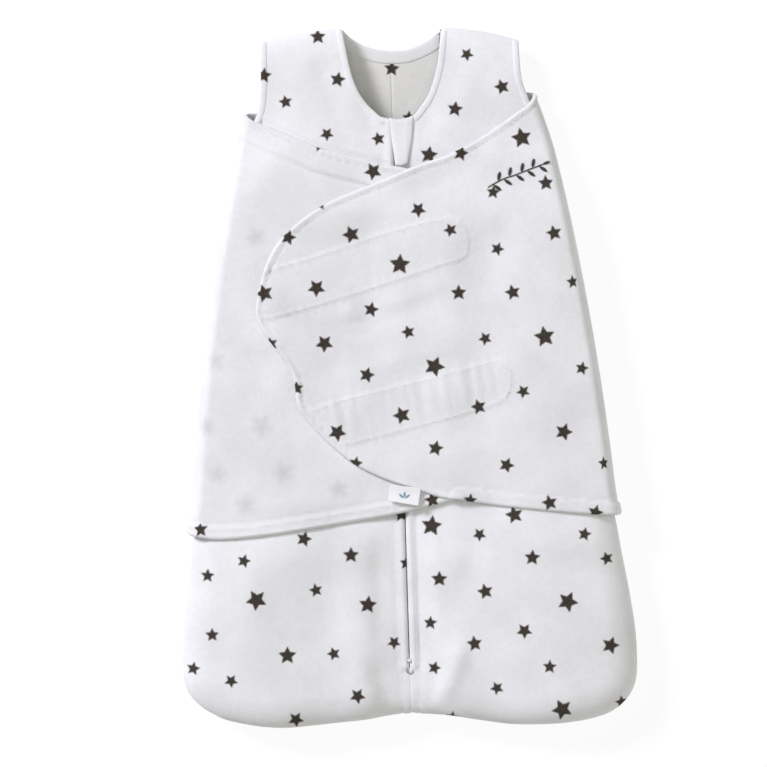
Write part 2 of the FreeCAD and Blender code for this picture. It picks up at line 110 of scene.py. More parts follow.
def chain(*runs):
    """Join runs end to start into one closed outline, without the doubled points, anticlockwise."""
    points = np.vstack(runs)
    gap = np.linalg.norm(points - np.roll(points, 1, axis=0), axis=1)
    points = points[gap > 0.2]
    x, y = points.T
    area = np.sum(x * np.roll(y, -1) - y * np.roll(x, -1)) / 2
    return points if area > 0 else points[::-1]


def shifted(line, distance):
    """A polyline moved to its left by a distance."""
    along = np.gradient(np.asarray(line, float), axis=0)
    along /= np.linalg.norm(along, axis=1)[:, None]
    return line + distance * np.stack([-along[:, 1], along[:, 0]], axis=1)


def to_line(points, line, closed=False):
    """For each point, its distance from a polyline and how far along the line its nearest spot is."""
    line = np.vstack([line, line[:1]]) if closed else np.asarray(line, float)
    a, span = line[:-1], np.diff(line, axis=0)
    length = np.linalg.norm(span, axis=1)
    start = np.concatenate([[0], np.cumsum(length)[:-1]])
    best = np.full(len(points), np.inf)
    along = np.zeros(len(points))
    for first in range(0, len(points), 3000):
        p = points[first:first + 3000, None, :]
        t = np.clip(((p - a) * span).sum(2) / np.maximum(length ** 2, 1e-9), 0, 1)
        gap = np.linalg.norm(p - a - t[..., None] * span, axis=2)
        near = gap.argmin(1)
        rows = np.arange(len(near))
        best[first:first + 3000] = gap[rows, near]
        along[first:first + 3000] = start[near] + t[rows, near] * length[near]
    return best, along


def inside(points, outline):
    """Which points lie inside a closed outline."""
    a, b = outline, np.roll(outline, -1, axis=0)
    result = np.zeros(len(points), bool)
    for first in range(0, len(points), 3000):
        x, y = points[first:first + 3000].T
        over = (a[:, 1] > y[:, None]) != (b[:, 1] > y[:, None])
        rise = np.where(b[:, 1] == a[:, 1], 1e-9, b[:, 1] - a[:, 1])
        cross = a[:, 0] + (y[:, None] - a[:, 1]) * (b[:, 0] - a[:, 0]) / rise
        result[first:first + 3000] = ((over & (x[:, None] < cross)).sum(1) % 2).astype(bool)
    return result


def smoothstep(low, high, value):
    t = np.clip((value - low) / (high - low), 0, 1)
    return t * t * (3 - 2 * t)


def bell(value, width):
    return np.exp(-(value / width) ** 2)


def rounded(gap, radius):
    """The height share of a quarter-round edge: 0 at the edge itself, 1 a radius further in."""
    return np.sqrt(1 - (1 - np.clip(gap / radius, 0, 1)) ** 2)


# ---- the bag's own lines --------------------------------------------------------------------------

def wrap_side(y):
    """Half width of the wrapped bag at height y."""
    y = np.asarray(y, float)
    slack = 158.5 - 0.1274 * y - 2.31e-4 * y ** 2
    narrowing = 0.015 * np.maximum(y - 180, 0) ** 1.5
    flare = 2.2 * bell(y + 118, 16)
    return slack - narrowing + flare


def fold_start(y):
    """Half width at which a wing starts to turn round the side."""
    return wrap_side(y) - FOLD_REACH


UNDERARM_Y = 196.0
HEM_RIGHT = [(169.5, -125), (172.5, -145), (177.5, -175), (181.3, -205), (182.2, -230), (180.3, -248),
             (173, -261), (161, -270.5), (145, -275.6), (125, -278.3), (105, -279), (80, -278.2),
             (55, -274.4), (30, -270), (5, -268)]
HEM_LEFT = [(5, -268), (-12, -268.3), (-35, -271.4), (-57, -273.2), (-80, -274.9), (-102, -275.8),
            (-124, -273.6), (-147, -268.4), (-158, -263.2), (-168, -256.8), (-177, -246.5),
            (-180.8, -234), (-180.2, -205), (-176.5, -175), (-172.3, -145), (-169.3, -125)]


def side_seam(side):
    """The sack's side seam, from the underarm down to the end of the wrap."""
    y = np.linspace(UNDERARM_Y, -112, 60)
    return np.stack([side * (wrap_side(y) - 4.6), y], axis=1)


RIGHT_SEAM = smooth(np.vstack([side_seam(1)[::6], HEM_RIGHT]), 2.0)
LEFT_SEAM = smooth(np.vstack([HEM_LEFT, side_seam(-1)[::-1][::6]]), 2.0)
NECK_TIP_RIGHT, NECK_TIP_LEFT = (41.5, 281), (-39, 283)
SHOULDER_RIGHT = smooth([NECK_TIP_RIGHT, (59, 279.5), (79, 276), (102.5, 269.5)])
SHOULDER_LEFT = smooth([(-104, 274.5), (-88, 277.5), (-69, 280.2), (-52, 282.3), NECK_TIP_LEFT])
ARM_RIGHT = smooth([(102.5, 269.5), (102.6, 252), (104, 236), (108.5, 222), (114, 209),
                    tuple(side_seam(1)[0])])
ARM_LEFT = smooth([(-104, 274.5), (-104, 258), (-104.2, 240), (-106, 222), (-111, 209),
                   tuple(side_seam(-1)[0])])
NECK_LEFT = smooth([NECK_TIP_LEFT, (-37.3, 272), (-35, 258), (-31.8, 243), (-26.3, 229), (-18.5, 218),
                    (-9.5, 209.5)], 1.5)
NECK_RIGHT = smooth([NECK_TIP_RIGHT, (40, 268), (37.6, 251), (33, 235), (27.5, 223), (17, 209.5)], 1.5)
NECK_FRONT = np.vstack([NECK_LEFT, smooth([(-9.5, 209.5), (3, 207.4), (17, 209.5)], 1.5),
                        NECK_RIGHT[::-1]])
NECK_BACK = smooth([NECK_TIP_LEFT, (-31, 275.5), (-20, 269.5), (-8, 266), (4, 265), (16, 266.5),
                    (30, 272.5), NECK_TIP_RIGHT], 1.5)


def joined_edge(points):
    """Distance from the lines where the front and the back of the sack are sewn together."""
    lines = [RIGHT_SEAM, LEFT_SEAM, SHOULDER_RIGHT, SHOULDER_LEFT]
    return np.min([to_line(points, line)[0] for line in lines], axis=0)


# ---- soft surfaces --------------------------------------------------------------------------------

def ridges(points, rows):
    """The sum of soft ridges, or with a negative height furrows, each along its own segment:
    (x and y of both ends, height, half width)."""
    total = np.zeros(len(points))
    for x0, y0, x1, y1, height, width in rows:
        a, span = np.array([x0, y0]), np.array([x1 - x0, y1 - y0])
        t = ((points - a) @ span) / (span @ span)
        near = np.clip(t, 0, 1)
        gap = np.linalg.norm(points - a - near[:, None] * span, axis=1)
        fade = smoothstep(-0.05, 0.35, t) * smoothstep(1.05, 0.65, t)
        total += height * bell(gap, width) * fade
    return total


def rumple(points, scale, seed):
    """Gentle uneven swell of laid cloth, about -1 to 1."""
    return np.array([noise.noise(Vector((x / scale, y / scale, seed))) for x, y in points]) * 1.6


FRONT_FOLDS = [
    # lower front: diagonal pulls from the zip's end and the soft swell of each half
    (20, -266, 46, -205, 2.4, 8), (13, -262, 30, -222, -1.2, 6), (-12, -262, -30, -225, -0.9, 8),
    (-26, -270, -44, -214, 1.2, 8), (60, -114, 40, -190, -1.2, 10), (14, -110, 34, -165, 1.2, 8),
    (60, -150, 66, -250, 1.0, 16), (-60, -140, -78, -255, -1.2, 18), (-120, -130, -138, -235, 1.4, 20),
    (120, -130, 140, -240, -1.0, 18), (20, -118, 26, -225, 1.2, 7), (-22, -125, -24, -225, -1.2, 8),
    # chest
    (-60, 262, -40, 205, -1.3, 9), (-84, 258, -72, 200, 1.2, 12), (70, 262, 52, 205, 1.0, 12),
    (-26, 232, -14, 196, -1.0, 6), (34, 222, 26, 190, -1.0, 8),
]


def front_plane(points):
    """Level of the front away from its seams: sloping down to the shoulders, puffed near the hem."""
    x, y = points.T
    shoulders = 12 * smoothstep(168, 290, y)
    below_wrap = smoothstep(-105, -145, y)
    swell = 2.5 + 5.0 * smoothstep(190, 120, y) + 3.5 * below_wrap
    lobes = swell * ((1 + 0.2 * below_wrap) * bell(x - 110, 64) + bell(x + 112, 60) - 0.08 * bell(x, 30))
    banks = 4.5 * below_wrap * bell(np.abs(x) - 38, 20)
    underarms = 9 * bell(np.hypot(np.abs(x) - 122, y - 206), 30)
    return FRONT_LEVEL - shoulders + lobes + banks - underarms


def front_level(points):
    """Level of the front's cloth with its swells, wherever its seams don't draw it down."""
    return front_plane(points) + 1.5 * ridges(points, FRONT_FOLDS) + 1.2 * rumple(points, 46, 3)


def between_seams(points):
    """Levels of the back and the front, drawn together at the seams, and how far each is from them."""
    open_share = rounded(joined_edge(points), SEAM_ROUND)
    high = front_plane(points)
    seam_level = (high + BACK_LEVEL) / 2
    return seam_level, open_share, high


def front_surface(points):
    seam_level, open_share, high = between_seams(points)
    x = points[:, 0]
    clear_of_zip = 1 - bell(x, 5)
    swell = front_level(points) - high
    level = seam_level + (high - seam_level) * open_share
    return np.column_stack([points, level + swell * open_share * clear_of_zip])


def back_surface(points):
    seam_level, open_share, _ = between_seams(points)
    return np.column_stack([points, seam_level - (seam_level - BACK_LEVEL) * open_share])


UNDER_FOLDS = [
    (-150, -104, -20, -92, 0.8, 9), (-90, 196, -30, 172, 0.5, 6), (-140, 60, -118, -70, -1.0, 16),
    (-128, 120, -100, 20, 0.9, 14), (-112, -20, -92, -90, -0.8, 12), (-135, 150, -110, 182, -0.8, 9),
    (-96, 60, -86, -10, 0.7, 9),
]
OVER_FOLDS = [
    (-70, 118, 10, 146, 1.1, 11), (-20, 132, 60, 168, -0.9, 10), (60, 150, 92, 200, 0.9, 10),
    (-100, 84, -96, 50, 0.8, 9), (70, 120, 120, 60, -1.1, 18), (96, 40, 120, -40, 1.0, 16),
    (20, 60, 60, 40, -0.7, 12), (-86, 30, 60, 70, -0.8, 9), (-60, 0, 76, 34, 0.7, 8),
    (-62, -60, 30, -86, 0.7, 7), (60, -60, 120, -92, -0.9, 12), (-40, 48, 50, 78, 0.6, 7),
    (120, 140, 128, 20, 0.8, 14), (40, -45, 100, -70, 0.7, 10),
    (-20, 66, -34, 30, -1.2, 9), (-48, 60, -20, 42, 1.0, 6), (-64, 8, -46, 34, -1.0, 8),
]
STRIP_WRINKLES = [(x, -38 + 0.22 * x, x - 6, 4 + 0.22 * x, height, 2.3) for x, height in (
    (-50, 0.7), (-43, -0.5), (-37, 0.5), (-16, 0.3), (-9, -0.3), (6, 0.4), (13, 0.7), (19, -0.5), (27, 0.4),
    (37, 0.6), (43, -0.4), (52, 0.8), (59, -0.5), (64, 0.6), (73, 0.4), (78, -0.4))]
REST = 3.0
SLIDER_ROOM = 2.4


def under_level(points):
    """Level of the under wing's flat part: on the front of the sack, arched over the zip."""
    x, y = points.T
    folds = 1.3 * ridges(points, UNDER_FOLDS) + 0.6 * rumple(points, 38, 8)
    room = SLIDER_ROOM * np.maximum(bell(x, 24), 0.5 * smoothstep(-112, -70, y))
    return front_level(points) + REST + room + np.maximum(folds, -0.4)


def over_level(points):
    """Level of the over wing's flat part: on the under wing, then down on the sack beyond it."""
    cover = smoothstep(74, 36, points[:, 0])
    below = cover * under_level(points) + (1 - cover) * front_level(points)
    folds = 1.3 * ridges(points, OVER_FOLDS) + ridges(points, STRIP_WRINKLES) + 0.7 * rumple(points, 42, 5)
    return below + REST + 0.6 + np.maximum(folds, -1.0)


def wrap_level(x, y):
    """Level of the wrap behind the back: on the floor, but lifted at its corners under the arms."""
    return WRAP_LEVEL + 10 * smoothstep(188, 222, y) * smoothstep(84, 112, np.abs(x))


def wing_surface(side, level):
    """Where a wing's flat pattern lies: flat over the front, then round the side to the back.
    The pattern's first coordinate runs outward from the middle, its second up the bag."""
    def place(points):
        u, v = points.T
        edge = fold_start(v)
        turn = np.clip((u - edge) / FOLD_LENGTH, 0, 1) * math.pi
        flat = np.minimum(u, edge)
        top = level(np.stack([side * flat, v], axis=1))
        bottom = wrap_level(edge, v)
        middle = (top + bottom) / 2
        x = flat + FOLD_REACH * np.sin(turn)
        z = middle + (top - middle) * np.cos(turn)
        return np.stack([side * x, v, z], axis=1)
    return place


# ---- meshes ---------------------------------------------------------------------------------------

def fill_outline(outline, spacing, rings):
    """Triangles over an outline: rings of points that follow its edge, then an even field inside."""
    points = [outline]
    normal = np.roll(outline, -1, axis=0) - np.roll(outline, 1, axis=0)
    normal /= np.maximum(np.linalg.norm(normal, axis=1), 1e-9)[:, None]
    inward = np.stack([-normal[:, 1], normal[:, 0]], axis=1)
    for ring in rings:
        line = outline + inward * ring
        gap, _ = to_line(line, outline, closed=True)
        points.append(line[(gap > 0.93 * ring) & inside(line, outline)])
    low, high = outline.min(0), outline.max(0)
    row_gap = spacing * math.sqrt(3) / 2
    rows = int((high[1] - low[1]) / row_gap) + 1
    columns = int((high[0] - low[0]) / spacing) + 2
    i, j = np.meshgrid(np.arange(columns), np.arange(rows))
    field = np.stack([low[0] + (i + 0.5 * (j % 2)) * spacing, low[1] + j * row_gap], axis=-1).reshape(-1, 2)
    field = field[inside(field, outline)]
    gap, _ = to_line(field, outline, closed=True)
    last = rings[-1] if rings else 0
    points.append(field[gap > last + 0.7 * spacing])
    everything = np.vstack(points)
    count = len(outline)
    edges = [(k, (k + 1) % count) for k in range(count)]
    vectors = [Vector(p) for p in everything]
    found, _, faces, _, _, _ = delaunay_2d_cdt(vectors, edges, [], 1, 1e-4)
    return np.array([tuple(p) for p in found]), np.array([f for f in faces if len(f) == 3])


def vertex_normals(points, triangles):
    a, b, c = (points[triangles[:, k]] for k in range(3))
    face = np.cross(b - a, c - a)
    normals = np.zeros_like(points)
    for k in range(3):
        np.add.at(normals, triangles[:, k], face)
    return normals / np.maximum(np.linalg.norm(normals, axis=1), 1e-12)[:, None]


def new_piece(name, points, faces, body, slot, materials, choice=None, flat=None):
    """A mesh object from points in millimetres, smooth shaded, riding on a body."""
    mesh = bpy.data.meshes.new(name)
    mesh.from_pydata([tuple(p) for p in np.asarray(points) * MM], [], [tuple(map(int, f)) for f in faces])
    mesh.shade_smooth()
    for material in materials:
        mesh.materials.append(material)
    if choice is not None:
        mesh.polygons.foreach_set("material_index", np.asarray(choice, np.int32))
    if flat is not None:
        layer = mesh.uv_layers.new(name="flat")
        corner = np.zeros(len(mesh.loops), np.int32)
        mesh.loops.foreach_get("vertex_index", corner)
        layer.data.foreach_set("uv", (np.asarray(flat)[corner] * MM).astype(np.float32).ravel())
    mesh.update()
    piece = bpy.data.objects.new(name, mesh)
    bpy.context.scene.collection.objects.link(piece)
    if body:
        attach(piece, body)
    return piece


def facing(triangles, points, normals):
    """The triangles with their corners ordered so that each one faces along its normals."""
    a, b, c = (points[triangles[:, k]] for k in range(3))
    away = np.einsum("ij,ij->i", np.cross(b - a, c - a), normals[triangles[:, 0]]) < 0
    triangles[away] = triangles[away][:, ::-1]
    return triangles


def laid_cloth(name, outline, place, body, slot, materials, spacing=2.4, rings=(0.5, 1.4, 2.8),
               relief=None, thick=CLOTH, pick=None, out_side=1, rim_round=0.7):
    """A closed sheet of cloth with rounded edges. place puts pattern points in space; relief raises the
    outer face; pick chooses each face's material from its pattern point and whether it is outside."""
    pattern, triangles = fill_outline(outline, spacing, rings)
    middle = place(pattern)
    normals = out_side * vertex_normals(middle, triangles)
    triangles = facing(triangles, middle, normals)
    gap, _ = to_line(pattern, outline, closed=True)
    half = thick / 2 * rounded(gap, rim_round * thick)
    raised = relief(pattern, gap) if relief else 0
    rim = gap < 1e-3
    outer = middle + normals * np.where(rim, 0, half + raised)[:, None]
    inner = middle - normals * half[:, None]
    # The inner face shares the rim's points, so the sheet closes without a seam.
    index = np.arange(len(pattern))
    index[~rim] = len(pattern) + np.arange((~rim).sum())
    points = np.vstack([outer, inner[~rim]])
    flat = np.vstack([pattern, pattern[~rim]])
    back = index[triangles][:, ::-1]
    keep = np.array([len(set(f)) == 3 for f in back])
    faces = np.vstack([triangles, back[keep]])
    centre = pattern[triangles].mean(1)
    outside = np.arange(len(faces)) < len(triangles)
    choice = pick(np.vstack([centre, centre[keep]]), outside) if pick else None
    return new_piece(name, points, faces, body, slot, materials, choice, flat)


def sweep(path, across, width, thick, sides=14, taper=0.0):
    """A rounded band along a path in space: points and faces. across gives the band's width direction."""
    path = np.asarray(path, float)
    along = np.gradient(path, axis=0)
    along /= np.linalg.norm(along, axis=1)[:, None]
    across = np.asarray(across, float) - np.einsum("ij,ij->i", across, along)[:, None] * along
    across /= np.linalg.norm(across, axis=1)[:, None]
    up = np.cross(along, across)
    angle = np.linspace(0, 2 * math.pi, sides, endpoint=False)
    c, s = np.cos(angle), np.sin(angle)
    shape_x = np.sign(c) * np.abs(c) ** 0.7 * width / 2
    shape_z = np.sign(s) * np.abs(s) ** 0.8 * thick / 2
    size = np.ones(len(path))
    if taper:
        run = np.concatenate([[0], np.cumsum(np.linalg.norm(np.diff(path, axis=0), axis=1))])
        size = np.sqrt(np.clip(np.minimum(run, run[-1] - run) / taper, 0.02, 1))
    rings = path[:, None, :] + size[:, None, None] * (shape_x[None, :, None] * across[:, None, :]
                                                      + shape_z[None, :, None] * up[:, None, :])
    points = rings.reshape(-1, 3)
    faces = []
    for k in range(len(path) - 1):
        for m in range(sides):
            n = (m + 1) % sides
            faces.append((k * sides + m, k * sides + n, (k + 1) * sides + n, (k + 1) * sides + m))
    faces.append(tuple(range(sides))[::-1])
    faces.append(tuple((len(path) - 1) * sides + m for m in range(sides)))
    return points, faces


def merged(parts):
    """Several (points, faces) as one."""
    points, faces, first = [], [], 0
    for p, f in parts:
        points.append(p)
        faces += [tuple(first + k for k in face) for face in f]
        first += len(p)
    return np.vstack(points), faces


def on_cloth(piece, place, line, out_side=1):
    """A line of the flat pattern laid on the outer face of the finished cloth, and its outward
    directions. Points that miss the cloth are left out."""
    tree = BVHTree.FromPolygons([v.co.copy() for v in piece.data.vertices],
                                [tuple(p.vertices) for p in piece.data.polygons])
    middle = place(line)
    along_u = place(line + [0.4, 0]) - middle
    along_v = place(line + [0, 0.4]) - middle
    out = out_side * np.cross(along_u, along_v)
    out /= np.linalg.norm(out, axis=1)[:, None]
    spots, ways = [], []
    for point, way in zip(middle, out):
        hit = tree.ray_cast(Vector((point + 5 * way) * MM), Vector(-way), 6 * MM)
        if hit[0] is not None:
            spots.append(np.array(hit[0]) / MM)
            ways.append(way)
    return np.array(spots), np.array(ways)


STITCH = 3.1
STITCH_GAP = 0.5


def stitches(path, out, radius=0.18, length=STITCH, gap=STITCH_GAP):
    """Thread along a path in space: a short plump bar for each stitch, sunk at both ends."""
    if len(path) < 2:
        return []
    run = np.concatenate([[0], np.cumsum(np.linalg.norm(np.diff(path, axis=0), axis=1))])
    count = int(run[-1] / (length + gap))
    bars = []
    for k in range(count):
        at = (k + 0.5) * (length + gap) + np.linspace(-length / 2, length / 2, 5)
        points = np.stack([np.interp(at, run, path[:, m]) for m in range(3)], axis=1)
        way = out[min(len(out) - 1, int(np.searchsorted(run, at[2])))]
        points += np.outer([-0.3, 0.05, 0.1, 0.05, -0.3], way)
        side = np.cross(points[-1] - points[0], way)
        bars.append(sweep(points, np.tile(side, (5, 1)), 2 * radius, 2 * radius, sides=6, taper=0.5))
    return bars


def sewn(name, bars, body, slot, material):
    points, faces = merged(bars)
    return new_piece(name, points, faces, body, slot, [material])


# ---- materials ------------------------------------------------------------------------------------

class Tree:
    """Short calls for building a material's nodes."""

    def __init__(self, name):
        self.material = bpy.data.materials.new(name)
        self.material.use_nodes = True
        self.nodes = self.material.node_tree.nodes
        self.links = self.material.node_tree.links
        self.shader = self.nodes["Principled BSDF"]

    def feed(self, socket, value):
        if hasattr(value, "is_output"):
            self.links.new(value, socket)
        else:
            socket.default_value = value

    def add(self, kind, inputs=(), **settings):
        node = self.nodes.new(kind)
        for key, value in settings.items():
            setattr(node, key, value)
        for key, value in dict(inputs).items():
            self.feed(node.inputs[key], value)
        return node

    def math(self, operation, a, b=0.0):
        return self.add("ShaderNodeMath", {0: a, 1: b}, operation=operation).outputs[0]

    def vector(self, operation, a, b=(0, 0, 0), c=(0, 0, 0)):
        node = self.add("ShaderNodeVectorMath", {0: a, 1: b}, operation=operation)
        if operation == "WRAP":
            self.feed(node.inputs[2], c)
        return node.outputs["Value" if operation == "LENGTH" else "Vector"]

    def mix(self, share, a, b):
        """Between two vectors: a mix node's inputs 4 and 5, output 1."""
        return self.add("ShaderNodeMix", {0: share, 4: a, 5: b}, data_type="VECTOR").outputs[1]

    def colour(self, share, a, b):
        """Between two colours: a mix node's inputs 6 and 7, output 2."""
        return self.add("ShaderNodeMix", {0: share, 6: a, 7: b}, data_type="RGBA").outputs[2]

    def ramp(self, value, low, high, to_low=0.0, to_high=1.0):
        node = self.add("ShaderNodeMapRange", {"Value": value, "From Min": low, "From Max": high,
                                               "To Min": to_low, "To Max": to_high},
                        interpolation_type="SMOOTHSTEP")
        return node.outputs["Result"]

    def noise(self, place, scale, detail=3.0, roughness=0.5):
        return self.add("ShaderNodeTexNoise", {"Vector": place, "Scale": scale, "Detail": detail,
                                               "Roughness": roughness}).outputs["Fac"]

    def wave(self, place, scale, distortion, direction="DIAGONAL", detail=2.0):
        return self.add("ShaderNodeTexWave", {"Vector": place, "Scale": scale, "Distortion": distortion,
                                              "Detail": detail}, bands_direction=direction).outputs["Fac"]

    def object_place(self):
        return self.add("ShaderNodeTexCoord").outputs["Object"]

    def bump(self, height, strength, distance, below=None):
        node = self.add("ShaderNodeBump", {"Height": height, "Strength": strength, "Distance": distance})
        if below is not None:
            self.feed(node.inputs["Normal"], below)
        return node.outputs["Normal"]

    def set(self, **values):
        for key, value in values.items():
            self.feed(self.shader.inputs[key.replace("_", " ")], value)


# Printed stars in millimetres: where each one's centre lies on the piece, its reach from centre to tip and
# the direction of one tip in degrees.
SMALL, MEDIUM, LARGE, GREAT = 5.7, 6.6, 7.5, 8.8
WING_STARS = [
    (18, 134, MEDIUM, -17), (43, 117, SMALL, -32), (125, 112, MEDIUM, 30), (-36, 116, LARGE, -34),
    (-86, 115, MEDIUM, 0), (80, 101, SMALL, -6), (2, 91, GREAT, 13), (139, 73, SMALL, 24),
    (-65, 74, LARGE, -22), (91, 66, MEDIUM, 31), (48, 67, MEDIUM, 18), (-106, 71, LARGE, 36),
    (-22, 56, MEDIUM, 3), (7, 37, SMALL, 33), (115, 30, GREAT, 26), (68, 30, SMALL, -28),
    (-60, 30, LARGE, -22), (-102, 31, SMALL, 33), (27, 9, GREAT, -6), (144, 4, SMALL, 3),
    (-27, 4, MEDIUM, 0), (-83, -5, SMALL, 22), (97, -13, SMALL, -27), (61, -24, MEDIUM, 33),
    (0, -29, LARGE, -34), (128, -46, LARGE, -3), (-52, -41, LARGE, -13), (26, -56, MEDIUM, 4),
    (160, -72, SMALL, 22), (82, -71, MEDIUM, -6), (52, -98, SMALL, 10), (115, -102, MEDIUM, 30),
    (151, -111, MEDIUM, 0), (102, 189, GREAT, 28), (53, 178, MEDIUM, 3), (-60, 141, SMALL, 12),
    (120, 152, MEDIUM, 20), (-38, -66, SMALL, 5), (78, 146, SMALL, 10),
]
SACK_STARS = [
    (-58, 276, MEDIUM, 18), (-102, 246, MEDIUM, 10), (-43, 241, MEDIUM, 5), (-85, 224, SMALL, 26),
    (-53, 197, SMALL, -18), (-12, 192, SMALL, 30), (61, 258, SMALL, -13),
    (88, 231, MEDIUM, 35), (50, 214, MEDIUM, 8), (28, 178, LARGE, 8), (21, -118, GREAT, 9),
    (59, -126, SMALL, -21), (-81, -125, MEDIUM, 0), (-44, -139, MEDIUM, 16), (100, -145, MEDIUM, 13),
    (159, -148, SMALL, 35), (-129, -141, SMALL, 0), (26, -160, MEDIUM, 16), (-73, -166, SMALL, 29),
    (62, -171, MEDIUM, 30), (-120, -172, GREAT, -26), (127, -181, GREAT, -9), (-32, -179, LARGE, 10),
    (18, -195, SMALL, 13), (92, -203, MEDIUM, -18), (-156, -199, SMALL, 18), (52, -212, MEDIUM, 24),
    (-12, -210, SMALL, -22), (160, -217, LARGE, -2), (-60, -217, SMALL, 35), (-97, -217, LARGE, 16),
    (111, -232, SMALL, 13), (20, -231, SMALL, 0), (-142, -236, SMALL, -16), (69, -248, SMALL, -28),
    (-42, -251, MEDIUM, -13), (168, -263, SMALL, 26), (120, -266, GREAT, -29), (-92, -268, MEDIUM, -14),
    (-3, -108, MEDIUM, 20), (0, -147, SMALL, 12), (87, -111, LARGE, 30), (33, -271, SMALL, 8),
    (-158, -152, SMALL, 14), (-172, -226, SMALL, 6), (142, -128, SMALL, 4),
]
HEM_STARS = [
    (163, -115, MEDIUM, 14), (-22, -97, MEDIUM, 8), (17, 166, LARGE, -8), (59, 188, SMALL, 4),
    (196, -116, MEDIUM, 30),
]
FAINT_STARS = [
    (148, 19, MEDIUM, 10), (112, -34, LARGE, -20), (157, -33, SMALL, 5), (148, -72, SMALL, 30),
    (96, -72, MEDIUM, 0), (126, -96, MEDIUM, 18), (52, -86, SMALL, 12), (112, 116, SMALL, 0),
]
REPEAT = (272.0, 212.0)
REPEATED = [star for star in WING_STARS if -112 < star[0] < 150 and -60 < star[1] < 140]
# Inner corners and rounded tips, as shares of a star's reach; and half the angle of one point.
STAR_WAIST, STAR_BLUNT, POINT_HALF = 0.5, 0.93, math.pi / 5
# How far a star's outline wanders in the nap, in millimetres, and how finely.
FUZZ, FUZZ_SCALE = 1.5, 1.1


def clear_of(stars, others, least=24):
    """The stars that don't crowd any of the others."""
    return [star for star in stars
            if all(math.hypot(star[0] - other[0], star[1] - other[1]) > least for other in others)]


def sack_stars(side):
    """The stars of one front panel: those in sight, and the wing's moved under the wrap."""
    hidden = [(x - 31, y + 12, size, turn) for x, y, size, turn in WING_STARS if -100 < y < 150]
    everything = SACK_STARS + clear_of(hidden, SACK_STARS)
    least = 4 if side > 0 else -4
    return [star for star in everything if side * star[0] > least]


def back_stars():
    """The back's stars: two in sight inside the neck, and the wing's, moved, everywhere else."""
    seen = [(0.6, 251 - REPEAT[1], MEDIUM, 12), (13.3, 211 - REPEAT[1], SMALL, 15)]
    return seen + clear_of([(x - 7, y + 2, size, turn) for x, y, size, turn in REPEATED], seen)


def wing_stars():
    """The stars of the over wing, with more where it turns round the side."""
    beyond = [(x + REPEAT[0], y, size, turn) for x, y, size, turn in REPEATED]
    return WING_STARS + clear_of([star for star in beyond if star[0] < 216], WING_STARS)


def nearest_star(tree, place, stars, repeat):
    """The way and the distance from the nearest star's centre, and that star's size and turn."""
    nearest, distance, facts = None, None, None
    for x, y, size, turn in stars:
        away = tree.vector("SUBTRACT", place, (x, y, 0))
        if repeat:
            half = (repeat[0] / 2, repeat[1] / 2, 1)
            away = tree.vector("WRAP", away, half, tuple(-k for k in half))
        length = tree.vector("LENGTH", away)
        own = (size, math.radians(turn), 0)
        if nearest is None:
            nearest, distance, facts = away, length, own
            continue
        closer = tree.math("LESS_THAN", length, distance)
        nearest = tree.mix(closer, nearest, away)
        facts = tree.mix(closer, facts, own)
        distance = tree.math("MINIMUM", length, distance)
    return nearest, distance, facts


def star_print(tree, stars, repeat, soft):
    """How much printed star there is at each point of the flat pattern, from 0 to 1. The way to the star
    is folded into half of one point, whose side is one straight line."""
    place = tree.vector("SCALE", tree.add("ShaderNodeUVMap", uv_map="flat").outputs[0])
    place.node.inputs["Scale"].default_value = 1 / MM
    nearest, distance, facts = nearest_star(tree, place, stars, repeat)
    way = tree.add("ShaderNodeSeparateXYZ", {0: nearest}).outputs
    size, turn, _ = tree.add("ShaderNodeSeparateXYZ", {0: facts}).outputs
    angle = tree.math("SUBTRACT", tree.math("ARCTAN2", way[1], way[0]), turn)
    folded = tree.math("PINGPONG", angle, POINT_HALF)
    side = Vector((STAR_WAIST * math.sin(POINT_HALF), 1 - STAR_WAIST * math.cos(POINT_HALF))).normalized()
    lean = math.atan2(side.y, side.x)
    across = tree.math("MULTIPLY", distance, tree.math("COSINE", tree.math("SUBTRACT", folded, lean)))
    past_side = tree.math("SUBTRACT", across, tree.math("MULTIPLY", size, side.x))
    past_tip = tree.math("SUBTRACT", distance, tree.math("MULTIPLY", size, STAR_BLUNT))
    past = tree.math("MAXIMUM", past_side, past_tip)
    fuzz = tree.math("MULTIPLY", tree.math("SUBTRACT", tree.noise(place, FUZZ_SCALE), 0.5), FUZZ)
    return tree.ramp(tree.math("ADD", past, fuzz), soft, -soft)


FLEECE_WHITE = (0.87, 0.87, 0.87, 1)
# The back's inside faces: the fleece white made greyer and warmer, painted shade for the inside of the
# sack.
INSIDE_PAINTED_SHADE = (0.785, 0.78, 0.735, 1)
STAR_INK = (0.034, 0.023, 0.012, 1)


def shade(base, share):
    """A darker shade of a colour."""
    return tuple(part * share for part in base[:3]) + (1,)


